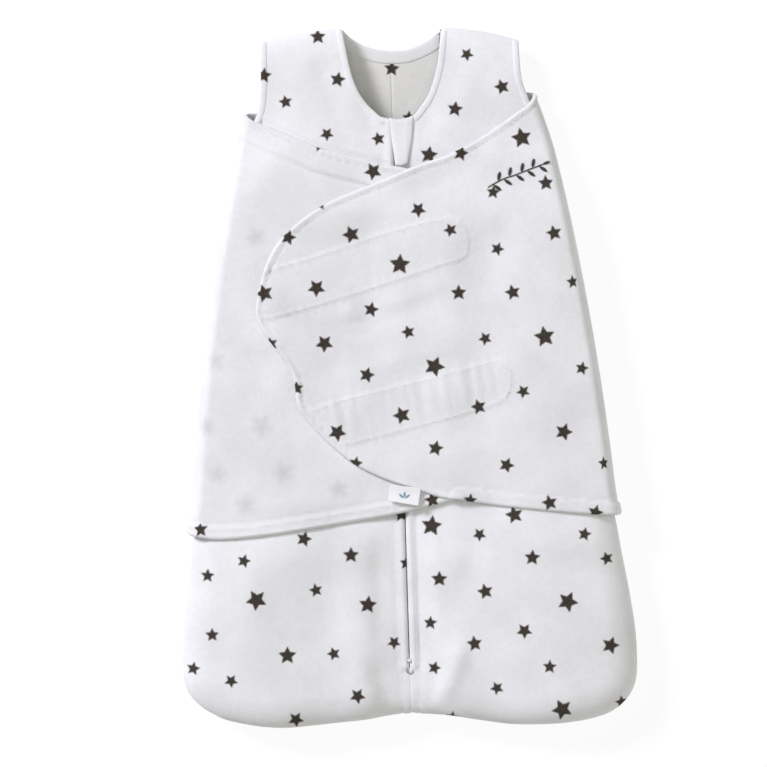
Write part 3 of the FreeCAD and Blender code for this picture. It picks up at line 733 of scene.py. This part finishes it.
def fleece(name, stars=(), repeat=None, ink=0.98, soft=0.75, base=FLEECE_WHITE):
    """Brushed micro fleece with printed stars; ink is how dark they show, soft how blurred."""
    tree = Tree(name)
    spot = tree.object_place()
    mottle = tree.noise(spot, 260.0, 4.0, 0.6)
    brushed = tree.ramp(tree.noise(spot, 26.0, 2.0), 0.3, 0.7)
    light = tree.colour(brushed, shade(base, 0.93), base)
    dull = tree.colour(brushed, shade(base, 0.90), shade(base, 0.965))
    colour = tree.colour(tree.ramp(mottle, 0.3, 0.7), dull, light)
    if stars:
        worn = tree.ramp(tree.noise(spot, 1400.0, 2.0), 0.15, 0.6, ink * 0.93, ink)
        mask = tree.math("MULTIPLY", star_print(tree, stars, repeat, soft), worn)
        colour = tree.colour(mask, colour, STAR_INK)
    tree.set(Base_Color=colour, Roughness=1.0, Sheen_Weight=0.04, Sheen_Roughness=0.5)
    tree.set(Specular_IOR_Level=0.1, Diffuse_Roughness=0.3)
    nap = tree.noise(spot, 1500.0, 3.0, 0.65)
    pile = tree.bump(tree.noise(spot, 320.0, 3.0, 0.55), 0.5, 0.0006)
    tree.set(Normal=tree.bump(nap, 0.6, 0.0003, pile))
    return tree.material


def knit(name, base, pitch=1400.0):
    """Fine ribbed knit for bindings and tapes."""
    tree = Tree(name)
    spot = tree.object_place()
    rib = tree.wave(spot, pitch / 6, 1.5)
    tone = tree.colour(tree.noise(spot, 500.0), shade(base, 0.94), base)
    tree.set(Base_Color=tone, Roughness=0.9, Sheen_Weight=0.3, Sheen_Roughness=0.5)
    fine = tree.bump(tree.noise(spot, 1800.0), 0.4, 0.0002)
    tree.set(Normal=tree.bump(rib, 0.25, 0.0002, fine))
    return tree.material


def thread(name, base):
    """Twisted sewing thread."""
    tree = Tree(name)
    spot = tree.object_place()
    twist = tree.wave(spot, 900.0, 2.0)
    tone = tree.colour(twist, shade(base, 0.82), base)
    tree.set(Base_Color=tone, Roughness=0.6, Sheen_Weight=0.3, Sheen_Roughness=0.4)
    tree.set(Normal=tree.bump(twist, 0.5, 0.0001))
    return tree.material


def satin(name, base):
    """Smooth woven ribbon."""
    tree = Tree(name)
    spot = tree.object_place()
    weave = tree.wave(spot, 700.0, 0.6, "X")
    tone = tree.colour(weave, shade(base, 0.97), base)
    tree.set(Base_Color=tone, Roughness=0.42, Sheen_Weight=0.2)
    tree.set(Normal=tree.bump(weave, 0.15, 0.0001))
    return tree.material


def hard(name, base, roughness, metal=0.0):
    """Enamelled metal or moulded plastic with a slightly uneven gloss."""
    tree = Tree(name)
    spot = tree.object_place()
    uneven = tree.noise(spot, 400.0)
    tone = tree.colour(uneven, shade(base, 0.93), base)
    tree.set(Base_Color=tone, Metallic=metal)
    tree.set(Roughness=tree.ramp(uneven, 0.2, 0.8, roughness * 0.8, roughness * 1.2))
    tree.set(Normal=tree.bump(tree.noise(spot, 900.0), 0.1, 0.0001))
    return tree.material


PRINT = fleece("fleece_print", back_stars(), REPEAT)
PRINT_FRONT = {side: fleece(f"fleece_front_{word}", sack_stars(side)) for side, word in SIDES}
# Inside faces of the back, in a greyer, warmer white: painted shade.
PRINT_INSIDE_SHADED = fleece("fleece_inside_painted_shade", back_stars(), REPEAT, base=INSIDE_PAINTED_SHADE)
PRINT_WING = fleece("fleece_wing", wing_stars())
PRINT_HEM = fleece("fleece_hem", HEM_STARS)
PRINT_BIND = fleece("fleece_binding", [star for star in SACK_STARS if star[1] > 150])
GHOST = fleece("fleece_reverse", REPEATED, REPEAT, ink=0.07, soft=3.5)
FAINT = fleece("fleece_reverse_left", FAINT_STARS, ink=0.2, soft=6.0)
PLAIN = fleece("fleece_plain")
# The neck facing's knit, darker and warmer than the zip tape's: painted shade inside the neck.
FACING_KNIT_SHADED = knit("knit_facing_painted_shade", (0.80, 0.80, 0.78, 1))
TAPE = knit("zip_tape_weave", (0.86, 0.86, 0.86, 1), 2600.0)
WHITE_THREAD = thread("white_thread", (0.93, 0.93, 0.93, 1))
DARK_THREAD = thread("olive_thread", (0.045, 0.045, 0.03, 1))
LABEL_THREAD = thread("label_thread", (0.25, 0.42, 0.50, 1))
SATIN = satin("white_satin", (0.90, 0.90, 0.91, 1))
ENAMEL = hard("white_enamel", (0.80, 0.80, 0.82, 1), 0.3)
METAL = hard("pull_metal", (0.42, 0.42, 0.43, 1), 0.35, 0.9)
HOOKS = hard("hook_plastic", (0.82, 0.82, 0.82, 1), 0.6)
COIL = hard("coil_plastic", (0.80, 0.80, 0.82, 1), 0.35)


# ---- the sack -------------------------------------------------------------------------------------

def groove(points, line, depth, width):
    """A stitched furrow along a line."""
    return -depth * bell(to_line(points, line)[0], width)


# How far the halves lap at the middle, and how near the middle their own outlines start.
SEAM_LAP = 0.4
MIDDLE_GAP = 0.3


def outer_edges(side):
    """One half's side seam with its share of the hem, its shoulder and its armhole."""
    if side > 0:
        seam, shoulder, arm = RIGHT_SEAM, SHOULDER_RIGHT, ARM_RIGHT
    else:
        seam, shoulder, arm = LEFT_SEAM[::-1], SHOULDER_LEFT[::-1], ARM_LEFT
    return seam[seam[:, 0] * side > MIDDLE_GAP], shoulder, arm


def own_half(neck, side, gap):
    """The part of a neck line on one side, from the middle outwards."""
    neck = neck[::side]
    return neck[neck[:, 0] * side > gap]


def front_outline(side):
    """Outline of one half of the front, with the zip's slit along its inner edge."""
    seam, shoulder, arm = outer_edges(side)
    neck = own_half(NECK_FRONT, side, SLIT_HALF + MIDDLE_GAP)
    hem_end = [-side * SEAM_LAP, seam[-1, 1]]
    slit_end = SLIT_LOW_Y + 1
    slit = resample([[side * SLIT_HALF, neck[0, 1]], [side * SLIT_HALF, slit_end + 1.5],
                     [-side * SEAM_LAP, slit_end - 1.5], hem_end], 2.0)
    return chain(seam, [hem_end], slit[::-1], neck, shoulder, arm)


def back_outline(side):
    """Outline of one half of the back, up to the seam down its middle."""
    seam, shoulder, arm = outer_edges(side)
    neck = own_half(NECK_BACK, side, MIDDLE_GAP)
    middle = resample([[-side * SEAM_LAP, seam[-1, 1]], [-side * SEAM_LAP, neck[0, 1]]], 2.0)
    return chain(seam, middle, neck, shoulder, arm)


SEAM_RINGS = (0.25, 0.8, 1.7, 3.0, 4.8, 7.2, 10.5, 14.5, 19.5)
PLACKET = 6.9
SLIT_CURVE = smooth([(PLACKET, 205), (PLACKET, 60), (PLACKET, -60), (PLACKET, -190), (PLACKET + 0.9, -215),
                     (PLACKET + 0.7, -227), (PLACKET - 1.6, -233.5)], 2.0)


def front_relief(side):
    """A raised, stitched placket beside the zip, topstitching beside the seam below it, and a dip under
    the edge of the under wing."""
    placket = SLIT_CURVE * [side, 1]
    placket_depth = 1.7 if side > 0 else 0.9
    below = np.array([[side * 6.6, SLIT_LOW_Y - 2], [side * 6.6, HEM_Y + 9]])
    under_edge = shifted(UNDER_TOP, 1.0) * [-1, 1]

    def relief(points, gap):
        x, y = points.T
        lip = 1.7 * smoothstep(PLACKET + 0.5, PLACKET - 2, np.abs(x)) * (y > SLIT_LOW_Y)
        raised = lip * smoothstep(0, 2.5, gap) + groove(points, placket, placket_depth, 1.0)
        raised += groove(points, below, 0.9, 1.0) + groove(points, under_edge, 1.9, 2.0)
        ripple = 0.15 * np.sin(y * 1.1 + 0.8 * np.sin(y * 0.13)) * bell(np.abs(x) - PLACKET, 5)
        return raised + ripple
    return relief


def build_sack():
    """The two fronts and the two backs, which meet edge to edge at the side seams and the shoulders."""
    fronts = {}
    for side, word in SIDES:
        front = laid_cloth(f"front_{word}", front_outline(side), front_surface, "sack", "fleece_print",
                           [PRINT_FRONT[side]], rings=SEAM_RINGS, relief=front_relief(side),
                           rim_round=0.45)
        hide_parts(f"front_panel_{word}")
        fronts[word] = front
        # The inside faces get the greyer white: painted shade.
        back = laid_cloth(f"back_{word}", back_outline(side), back_surface, "sack", "fleece_print",
                          [PRINT, PRINT_INSIDE_SHADED], rings=SEAM_RINGS, out_side=-1, pick=by_face)
        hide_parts(f"back_panel_{word}")
    return fronts


BIND_WIDTH = 5.6
BIND_THICK = 4.2
BACK_ROLL = 2.6


def edge_binding(surface, line, inset, width=BIND_WIDTH, thick=BIND_THICK):
    """A rounded band folded over a cloth edge; inset moves its middle on to the cloth."""
    path = surface(shifted(line, inset))
    across = np.column_stack([shifted(line, 1.0) - line, np.zeros(len(line))])
    drop = surface(shifted(line, inset + 1.0))[:, 2] - path[:, 2]
    across[:, 2] = np.clip(drop, -1.2, 1.2)
    return sweep(path, across, width, thick, sides=16, taper=1.2)


def printed_edge(name, bands):
    """Bindings cut from the same cloth, so that the front's stars run on over them."""
    points, faces = merged(bands)
    return new_piece(name, points, faces, "sack", "rib_binding", [PRINT_BIND], flat=points[:, :2])


def build_bindings():
    half = BIND_WIDTH / 2 - 0.5
    neck = printed_edge("neck_edge", [
        edge_binding(front_surface, smooth(NECK_FRONT[NECK_FRONT[:, 0] < -1.5][::5], 1.5), -half),
        edge_binding(front_surface, smooth(NECK_FRONT[NECK_FRONT[:, 0] > 12][::5], 1.5), -half),
        edge_binding(back_surface, NECK_BACK, -0.8, BACK_ROLL, 3.6),
    ])
    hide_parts("neck_binding")
    for side, word, line in ((-1, "left", ARM_LEFT), (1, "right", ARM_RIGHT)):
        inset = -side * half
        piece = printed_edge(f"armhole_edge_{word}", [edge_binding(front_surface, line, inset),
                                                      edge_binding(back_surface, line, inset)])
        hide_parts(f"armhole_binding_{word}")


def build_neck_facing():
    upper = shifted(NECK_BACK, -0.4)[2:-2]
    lower = shifted(NECK_BACK, -10.2)[5:-5]
    outline = chain(resample(upper, 1.5), resample(lower[::-1], 1.5))

    def place(points):
        return back_surface(points) + [0, 0, CLOTH / 2 + 0.15]

    def relief(points, gap):
        return groove(points, shifted(lower, 1.2), 0.35, 0.6)

    # The facing's knit is darkened as painted shade.
    piece = laid_cloth("neck_facing", outline, place, "sack", "rib_binding", [FACING_KNIT_SHADED], spacing=1.5,
                       rings=(0.4,), relief=relief, thick=0.9)
    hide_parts("back_neck_facing")


def build_garage():
    outline = chain(smooth([(-3.0, 209.0), (5, 207.6), (16.8, 209.6)], 1.0),
                    smooth([(16.8, 209.6), (15.2, 194), (13, 181), (11.4, 171.5)], 1.0),
                    smooth([(11.4, 171.5), (6, 169.4), (0.8, 170.4)], 1.0),
                    smooth([(0.8, 170.4), (-0.6, 184), (-2.0, 197), (-3.0, 209.0)], 1.0))
    crease = np.array([[13.6, 209], [12.0, 186]])

    def place(points):
        return front_surface(points) + [0, 0, CLOTH / 2 + 0.2]

    def relief(points, gap):
        return 1.7 * rounded(gap, 4) + groove(points, crease, 0.6, 0.6)

    piece = laid_cloth("zip_garage", outline, place, "sack", "fleece_print", [PLAIN], spacing=1.2,
                       rings=(0.4, 1.0), relief=relief, thick=2.0)
    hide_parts("zipper_garage")


def build_zip():
    """The zip's own CAD parts get their looks, and the pull a finer shape."""
    for node, material in (("zipper_tape_left", TAPE), ("zipper_tape_right", TAPE),
                           ("zipper_teeth_left", COIL), ("zipper_teeth_right", COIL),
                           ("zipper_bottom_stop", METAL), ("zipper_top_stops", METAL),
                           ("zipper_guard", PLAIN), ("zipper_slider", ENAMEL)):
        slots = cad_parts[node].data.materials
        slots.clear()
        slots.append(material)
    build_pull()


def ring_path(centre, half_width, half_length, height, count=40):
    """A long rounded loop lying flat."""
    angle = np.linspace(0, 2 * math.pi, count)
    straight = half_length - half_width
    x = centre[0] + half_width * np.cos(angle)
    y = centre[1] + half_width * np.sin(angle) + np.sign(np.sin(angle)) * straight
    return np.stack([x, y, np.full(count, height)], axis=1)


def build_pull():
    """The pull: a long wire loop hooked through the slider's bridge, with a pin across its upper end."""
    _, middle_y, height = (PULL_LOW + PULL_HIGH) / 2
    half_length = (PULL_HIGH[1] - PULL_LOW[1]) / 2
    pin_y = PULL_HIGH[1] - 0.55
    loop = ring_path((0, middle_y), 2.05, half_length - 0.5, height)
    wire = sweep(loop, np.tile([0.0, 0.0, 1.0], (len(loop), 1)), 1.2, 1.2, sides=10)
    pin = sweep([[x, pin_y, height] for x in (-2.1, 0, 2.1)], np.tile([0.0, 1.0, 0.0], (3, 1)),
                0.8, 0.8, sides=10)
    piece = new_piece("pull_loop", *merged([wire, pin]), "pull", "zip_metal", [METAL])
    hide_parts("slider_pull")


# ---- the wrap -------------------------------------------------------------------------------------

OVER_TOP = smooth([(-106, 90), (-98, 106), (-85.5, 120.3), (-71, 131.8), (-54.3, 141.7), (-33.6, 150.2),
                   (-12.9, 157.8), (4.5, 164.4), (19, 170.1), (41.7, 176.8), (58.7, 184.7), (73.9, 193),
                   (91.3, 204.5), (105, 214), (122, 223), (140, 227.5), (153, 228)])
OVER_FREE = smooth([(-106, 90), (-109.6, 78), (-112.5, 65), (-113.3, 53), (-107.4, 39.3), (-96.7, 23.8),
                    (-88, 10.3), (-84.3, -3), (-82.4, -19.9), (-72.1, -35.4), (-57.4, -51.1), (-39, -66.8),
                    (-16.6, -78.7), (11.1, -89), (28.5, -95.3), (45.2, -98)])
OVER_HEM = smooth([(45.2, -98), (77, -103.6), (113.7, -108.4), (143, -111.7), (160, -113.2), (180, -114),
                   (208, -114)])
UNDER_TOP = smooth([(-31, 150), (-27, 158), (-19, 163.5), (-7.8, 168.3), (8.4, 170.9), (22.4, 175.4),
                    (40.7, 180.1), (61.3, 186.8), (87.3, 199), (104, 206.5), (120, 212.5), (138, 217),
                    (155, 218)])
UNDER_FREE = smooth([(-31, 150), (-33, 120), (-38, 0), (-42.5, -90), (-41.7, -97.3)])
UNDER_HEM = smooth([(-41.7, -97.3), (-23.5, -101.3), (2.3, -106.9), (30.2, -111.1), (68.7, -116.3),
                    (107.1, -121), (145.5, -123.6), (165, -121.5), (185, -120), (209, -119.5)])
WRAP_TOP_Y = 222.0


def wing_outline(top, free, hem):
    """A wing's flat pattern, closed along the line where it meets the back panel."""
    y = np.linspace(hem[-1, 1], top[-1, 1], 120)
    back_edge = np.stack([fold_start(y) + FOLD_LENGTH, y], axis=1)
    return chain(hem[:-1], back_edge, top[::-1][1:], free[1:])


OVER_OUTLINE = wing_outline(OVER_TOP, OVER_FREE, OVER_HEM)
UNDER_OUTLINE = wing_outline(UNDER_TOP, UNDER_FREE, UNDER_HEM)
HEM_WIDTH = 11.0
TOP_HEM_WIDTH = 5.0
TOP_BAND = 18.5
FREE_ROLL = 4.6

STRIP_UPPER = np.vstack([smooth([(-104.1, 88.3), (-60.3, 100.1), (-3.1, 117.3), (34.9, 124.6), (47, 125)]),
                         smooth([(47, 125), (53.5, 119), (56, 108), (54.5, 98), (48, 93)]),
                         smooth([(48, 93), (34, 89.7), (-4.3, 77.8), (-61.5, 61.4), (-110.3, 49.8)])])
STRIP_LOWER = np.vstack([smooth([(-71.7, -23.2), (-45.1, -15.4), (-6.9, -7.3), (31.1, 1), (79.8, 12.7)]),
                         smooth([(79.8, 12.7), (86, 6), (87.4, -4), (85, -14), (79.6, -20.4)]),
                         smooth([(79.6, -20.4), (47.3, -29.2), (-1.9, -41.2), (-48, -51.3)])])


def hem_relief(points, line, width, height, depth):
    """A turned hem along an edge line: thicker cloth out to a stitched furrow."""
    gap, along = to_line(points, line)
    pucker = 0.12 * np.sin(along * 0.9 + np.sin(along * 0.21) * 2)
    turned = smoothstep(width + 0.6, width - 1.2, gap) * smoothstep(0, 2.0, gap)
    return turned * (height + pucker) - depth * bell(gap - width, 0.9)


def over_relief(points, gap):
    raised = hem_relief(points, OVER_TOP, TOP_HEM_WIDTH, 1.1, 0.8)
    raised += hem_relief(points, OVER_FREE, FREE_ROLL, 1.2, 0.8)
    raised += hem_relief(points, OVER_HEM, HEM_WIDTH, 1.1, 1.0)
    for strip in (STRIP_UPPER, STRIP_LOWER):
        closed = np.vstack([strip, strip[:1]])
        near, run = to_line(points, strip)
        held = inside(points, closed).astype(float)
        clear = smoothstep(FREE_ROLL, FREE_ROLL + 3, gap)
        raised += clear * (0.5 * held * smoothstep(0, 3, near) + 1.1 * bell(near, 1.0))
        raised += 0.2 * np.sin(run * 0.8) * bell(near - 3.2, 2.2)
    return raised


def under_relief(points, gap):
    raised = hem_relief(points, UNDER_TOP, TOP_HEM_WIDTH, 2.2, 0.7)
    raised += hem_relief(points, UNDER_HEM, HEM_WIDTH, 1.3, 1.2)
    raised += groove(points, shifted(UNDER_HEM, 5.2), 1.1, 1.0)
    band = to_line(points, UNDER_TOP)[0]
    raised += 0.8 * smoothstep(TOP_BAND, TOP_BAND - 3, band) * smoothstep(4, 7, band)
    raised += 1.5 * bell(band - TOP_BAND + 1.2, 1.5)
    return raised - 0.9 * bell(band - TOP_BAND - 1.8, 1.5)


def under_pick(points, outside):
    """The reverse shows on top, except on the hem and the upper band, cut with the print outside."""
    hem = to_line(points, UNDER_HEM)[0] < HEM_WIDTH
    top = to_line(points, UNDER_TOP)[0] < TOP_BAND
    return np.where(outside & ~(hem | top), 1, 0)


def by_face(points, outside):
    """The first material outside and the second inside."""
    return np.where(outside, 0, 1)


WING_BODIES = {"over_wing": ("wing_over", 1), "under_wing": ("wing_under", -1)}


def blend_wing(piece, body, side):
    """Bake a wing piece's placement into its mesh."""
    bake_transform(piece)


OVER_PLACE = wing_surface(1, over_level)
UNDER_PLACE = wing_surface(-1, under_level)


def build_wings():
    over = laid_cloth("over_wing_cloth", OVER_OUTLINE, OVER_PLACE, None, "fleece_print",
                      [PRINT_WING, GHOST], spacing=2.1, relief=over_relief, pick=by_face,
                      rim_round=0.5)
    blend_wing(over, *WING_BODIES["over_wing"])
    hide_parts("over_wing", "wrap_fold_right")
    under = laid_cloth("under_wing_cloth", UNDER_OUTLINE, UNDER_PLACE, None, "fleece_reverse",
                       [PRINT_HEM, FAINT], spacing=2.3, relief=under_relief, pick=under_pick,
                       out_side=-1)
    blend_wing(under, *WING_BODIES["under_wing"])
    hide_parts("under_wing", "wrap_fold_left")
    return over, under


def build_wrap_back():
    y_right = np.linspace(OVER_HEM[-1, 1], OVER_TOP[-1, 1], 90)
    y_left = np.linspace(UNDER_TOP[-1, 1], UNDER_HEM[-1, 1], 90)
    right = np.stack([fold_start(y_right) + 0.2, y_right], axis=1)
    left = np.stack([-fold_start(y_left) - 0.2, y_left], axis=1)
    top = smooth([right[-1], (60, 224), (0, WRAP_TOP_Y - 2), (-60, 219), left[0]])
    hem = smooth([left[-1], (-60, -120), (0, -119), (60, -117), right[0]])
    outline = chain(right, top[1:-1], left, hem[1:-1])

    def place(points):
        return np.column_stack([points, wrap_level(*points.T)])

    def relief(points, gap):
        return hem_relief(points, hem, HEM_WIDTH, 0.0, 0.5) + hem_relief(points, top, TOP_HEM_WIDTH, 0, 0.4)

    piece = laid_cloth("wrap_back", outline, place, "sack", "fleece_print", [PRINT, GHOST], spacing=3.0,
                       relief=relief, out_side=-1, pick=by_face)
    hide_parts("wrap_back_panel")


def build_hook_strips():
    """The two tapes under the over wing, a little inside their stitched outlines."""
    step, inset, thick = 2.0, 1.5, 0.7

    def place(points):
        return np.column_stack([points, over_level(points) - CLOTH / 2 - 0.4])

    for word, strip in (("upper", STRIP_UPPER), ("lower", STRIP_LOWER)):
        outline = chain(strip, resample([strip[-1], strip[0]], step))
        along = np.gradient(outline, axis=0) / step
        outline = outline + inset * np.column_stack([-along[:, 1], along[:, 0]])
        piece = laid_cloth(f"hook_tape_{word}", outline, place, "wing_over", "hook_tape", [HOOKS],
                           spacing=2.6, rings=(0.4,), thick=thick)
        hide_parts(f"hook_strip_{word}")


# ---- trims ----------------------------------------------------------------------------------------

def build_label():
    """A blank folded satin label over the wing's hem, slightly lifted at its lower corners."""
    corners = [(-11.4, -83.2), (13.4, -87.6), (10.9, -101.5), (-13.3, -96.6)]
    outline = chain(*[resample([a, b], 0.8) for a, b in zip(corners, corners[1:] + corners[:1])])

    def place(points):
        lift = 0.5 + 0.6 * smoothstep(-90, -102, points[:, 1])
        level = over_level(np.stack([points[:, 0], np.maximum(points[:, 1], -93)], axis=1))
        return np.column_stack([points, level + CLOTH / 2 + lift + 0.7])

    def relief(points, gap):
        return -0.12 * bell(gap - 1.3, 0.3)

    piece = laid_cloth("satin_label", outline, place, "wing_over", "satin_label", [SATIN], spacing=0.9,
                       rings=(0.3, 0.8), relief=relief, thick=0.7)
    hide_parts("side_label")
    bars = []
    for turn in (38, 84, 130):
        angle = math.radians(turn)
        spot = np.array([-0.4, -95.5]) + 3.3 * np.array([math.cos(angle), math.sin(angle)])
        bars += satin_leaf(spot, 4.4, 1.9, angle, lambda at: place(at)[:, 2] - 1.35)
    sewn("label_motif", bars, "wing_over", "embroidery_thread", LABEL_THREAD)


def satin_leaf(centre, length, width, angle, level):
    """One embroidered leaf: bars of thread laid across it, side by side."""
    bars = []
    turn = np.array([math.cos(angle), math.sin(angle)])
    side = np.array([-turn[1], turn[0]])
    for t in np.arange(-length / 2 + 0.3, length / 2, 0.55):
        half = width / 2 * (1 - (2 * t / length) ** 2) ** 0.7
        if half < 0.25:
            continue
        spots = [centre + turn * (t + 0.35 * abs(k)) + side * half * k for k in np.linspace(-1, 1, 5)]
        z = level(np.array(spots)) + CLOTH / 2 + 0.55 + 0.3 * (1 - np.linspace(-1, 1, 5) ** 2)
        path = np.column_stack([np.array(spots), z])
        bars.append(sweep(path, np.tile([*turn, 0.0], (5, 1)), 0.62, 0.5, sides=6, taper=0.3))
    return bars


def build_sprig():
    """A plain leafy sprig in dark thread near the shoulder."""
    stem = smooth([(73.5, 150), (85, 156), (96, 159.5), (107, 163.5), (118.5, 167.5)], 0.8)
    z = over_level(stem) + CLOTH / 2 + 0.6
    side = np.column_stack([shifted(stem, 1.0) - stem, np.zeros(len(stem))])
    bars = [sweep(np.column_stack([stem, z]), side, 0.9, 0.8, sides=8, taper=1.0)]
    run = len(stem)
    for k, share in enumerate(np.linspace(0.1, 0.92, 9)):
        spot = stem[int(share * (run - 1))]
        hand = 1 if k % 2 else -1
        angle = math.radians(20 + hand * 56)
        reach = np.array([math.cos(angle), math.sin(angle)])
        bars += satin_leaf(spot + 4.4 * reach, 7.4, 3.2, angle, over_level)
    bars += satin_leaf(stem[-1] + [2.4, 0.9], 6.0, 2.8, math.radians(20), over_level)
    piece = sewn("sprig_threads", bars, "wing_over", "embroidery_thread", DARK_THREAD)
    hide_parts("embroidered_sprig")


def between_stars(line, stars):
    """The runs of a line that keep clear of the stars: there the thread sinks out of sight."""
    away = [np.hypot(line[:, 0] - x, line[:, 1] - y) > 1.1 * size for x, y, size, _ in stars]
    clear = np.all(away, axis=0)
    runs = np.split(np.arange(len(line)), np.flatnonzero(np.diff(clear.astype(int))) + 1)
    return [line[run] for run in runs if clear[run[0]] and len(run) > 3]


def build_stitching(fronts, over, under):
    """Rows of thread along hems, hook strips, placket and seams."""
    rows = {
        "over_wing": (over, OVER_PLACE, 1, None, WING_STARS, [
            STRIP_UPPER, STRIP_LOWER, shifted(OVER_HEM, HEM_WIDTH), shifted(OVER_TOP, -TOP_HEM_WIDTH)]),
        "under_wing": (under, UNDER_PLACE, -1, None, HEM_STARS, [
            shifted(UNDER_HEM, HEM_WIDTH), shifted(UNDER_HEM, 5.2), shifted(UNDER_TOP, -TOP_HEM_WIDTH),
            shifted(UNDER_TOP, -TOP_BAND)]),
    }
    for side, word in SIDES:
        below = np.array([[side * 6.6, SLIT_LOW_Y - 3], [side * 6.6, HEM_Y + 12]])
        rows[f"front_{word}"] = (fronts[word], front_surface, 1, "sack", SACK_STARS,
                                 [SLIT_CURVE * [side, 1], below])
    for name, (piece, place, out_side, body, stars, lines) in rows.items():
        bars = []
        for line in lines:
            for run in between_stars(resample(line, 1.2), stars):
                bars += stitches(*on_cloth(piece, place, run, out_side))
        sewing = sewn(f"{name}_stitching", bars, body, "fleece_print", WHITE_THREAD)
        if name in WING_BODIES:
            blend_wing(sewing, *WING_BODIES[name])


# ---- stage ----------------------------------------------------------------------------------------

# What the camera frames, in millimetres, and how the bag is turned in it.
FRAME_MM = 613.6
VIEW_CENTRE = (-13.9, -3.2)
ROLL = math.radians(-1.76)
CAMERA_HEIGHT = 2.4
SENSOR = 36
# Lights in metres: place, size, watts and tint.
LIGHTS = {
    "key": ((-3.68, 3.09, 3.76), 1.6, 330, (0.90, 0.90, 1.0)),
    "overhead": ((0.0, 0.2, 3.6), 2.0, 30, (0.99, 0.98, 1.0)),
    "fill": ((3.0, -1.8, 2.0), 2.5, 30, (1.0, 0.99, 0.93)),
}


def add_object(name, data, place=(0, 0, 0), turn=(0, 0, 0)):
    item = bpy.data.objects.new(name, data)
    item.location = place
    item.rotation_euler = turn
    bpy.context.scene.collection.objects.link(item)
    return item


def build_floor():
    """A plain white floor, a hair below the wrap, with a little light of its own to stay white."""
    half, level = 8.0, -0.0005
    corners = [(x, y, level) for x, y in ((-half, -half), (half, -half), (half, half), (-half, half))]
    mesh = bpy.data.meshes.new("floor")
    mesh.from_pydata(corners, [], [(0, 1, 2, 3)])
    add_object("floor", mesh)
    tree = Tree("floor_white")
    tree.set(Base_Color=(0.16, 0.16, 0.16, 1), Roughness=1.0, Emission_Color=(1, 1, 1, 1),
             Emission_Strength=0.87, Specular_IOR_Level=0.0)
    mesh.materials.append(tree.material)


def build_camera():
    """Straight above the bag."""
    camera = bpy.data.cameras.new("camera")
    camera.sensor_width = SENSOR
    camera.lens = SENSOR * (CAMERA_HEIGHT - 0.03) / (FRAME_MM * MM)
    camera.clip_end = 20
    place = (VIEW_CENTRE[0] * MM, VIEW_CENTRE[1] * MM, CAMERA_HEIGHT)
    bpy.context.scene.camera = add_object("camera", camera, place, (0, 0, ROLL))


def build_lights():
    """A key light from the upper left for the creases, and soft light from above and the right."""
    for name, (place, size, power, tint) in LIGHTS.items():
        light = bpy.data.lights.new(name, "AREA")
        light.shape = "SQUARE"
        light.size = size
        light.energy = power
        light.color = tint
        add_object(name, light, place, (-Vector(place)).to_track_quat("-Z", "Y").to_euler())
    world = bpy.data.worlds.new("studio")
    world.use_nodes = True
    sky = world.node_tree.nodes["Background"].inputs
    sky["Color"].default_value = (1.0, 1.0, 0.92, 1)
    sky["Strength"].default_value = 0.18
    bpy.context.scene.world = world
    bpy.context.scene.view_settings.view_transform = "Standard"


def main():
    build_floor()
    build_camera()
    build_lights()
    fronts = build_sack()
    build_bindings()
    build_neck_facing()
    build_garage()
    build_zip()
    over, under = build_wings()
    build_wrap_back()
    build_hook_strips()
    build_label()
    build_sprig()
    build_stitching(fronts, over, under)


main()
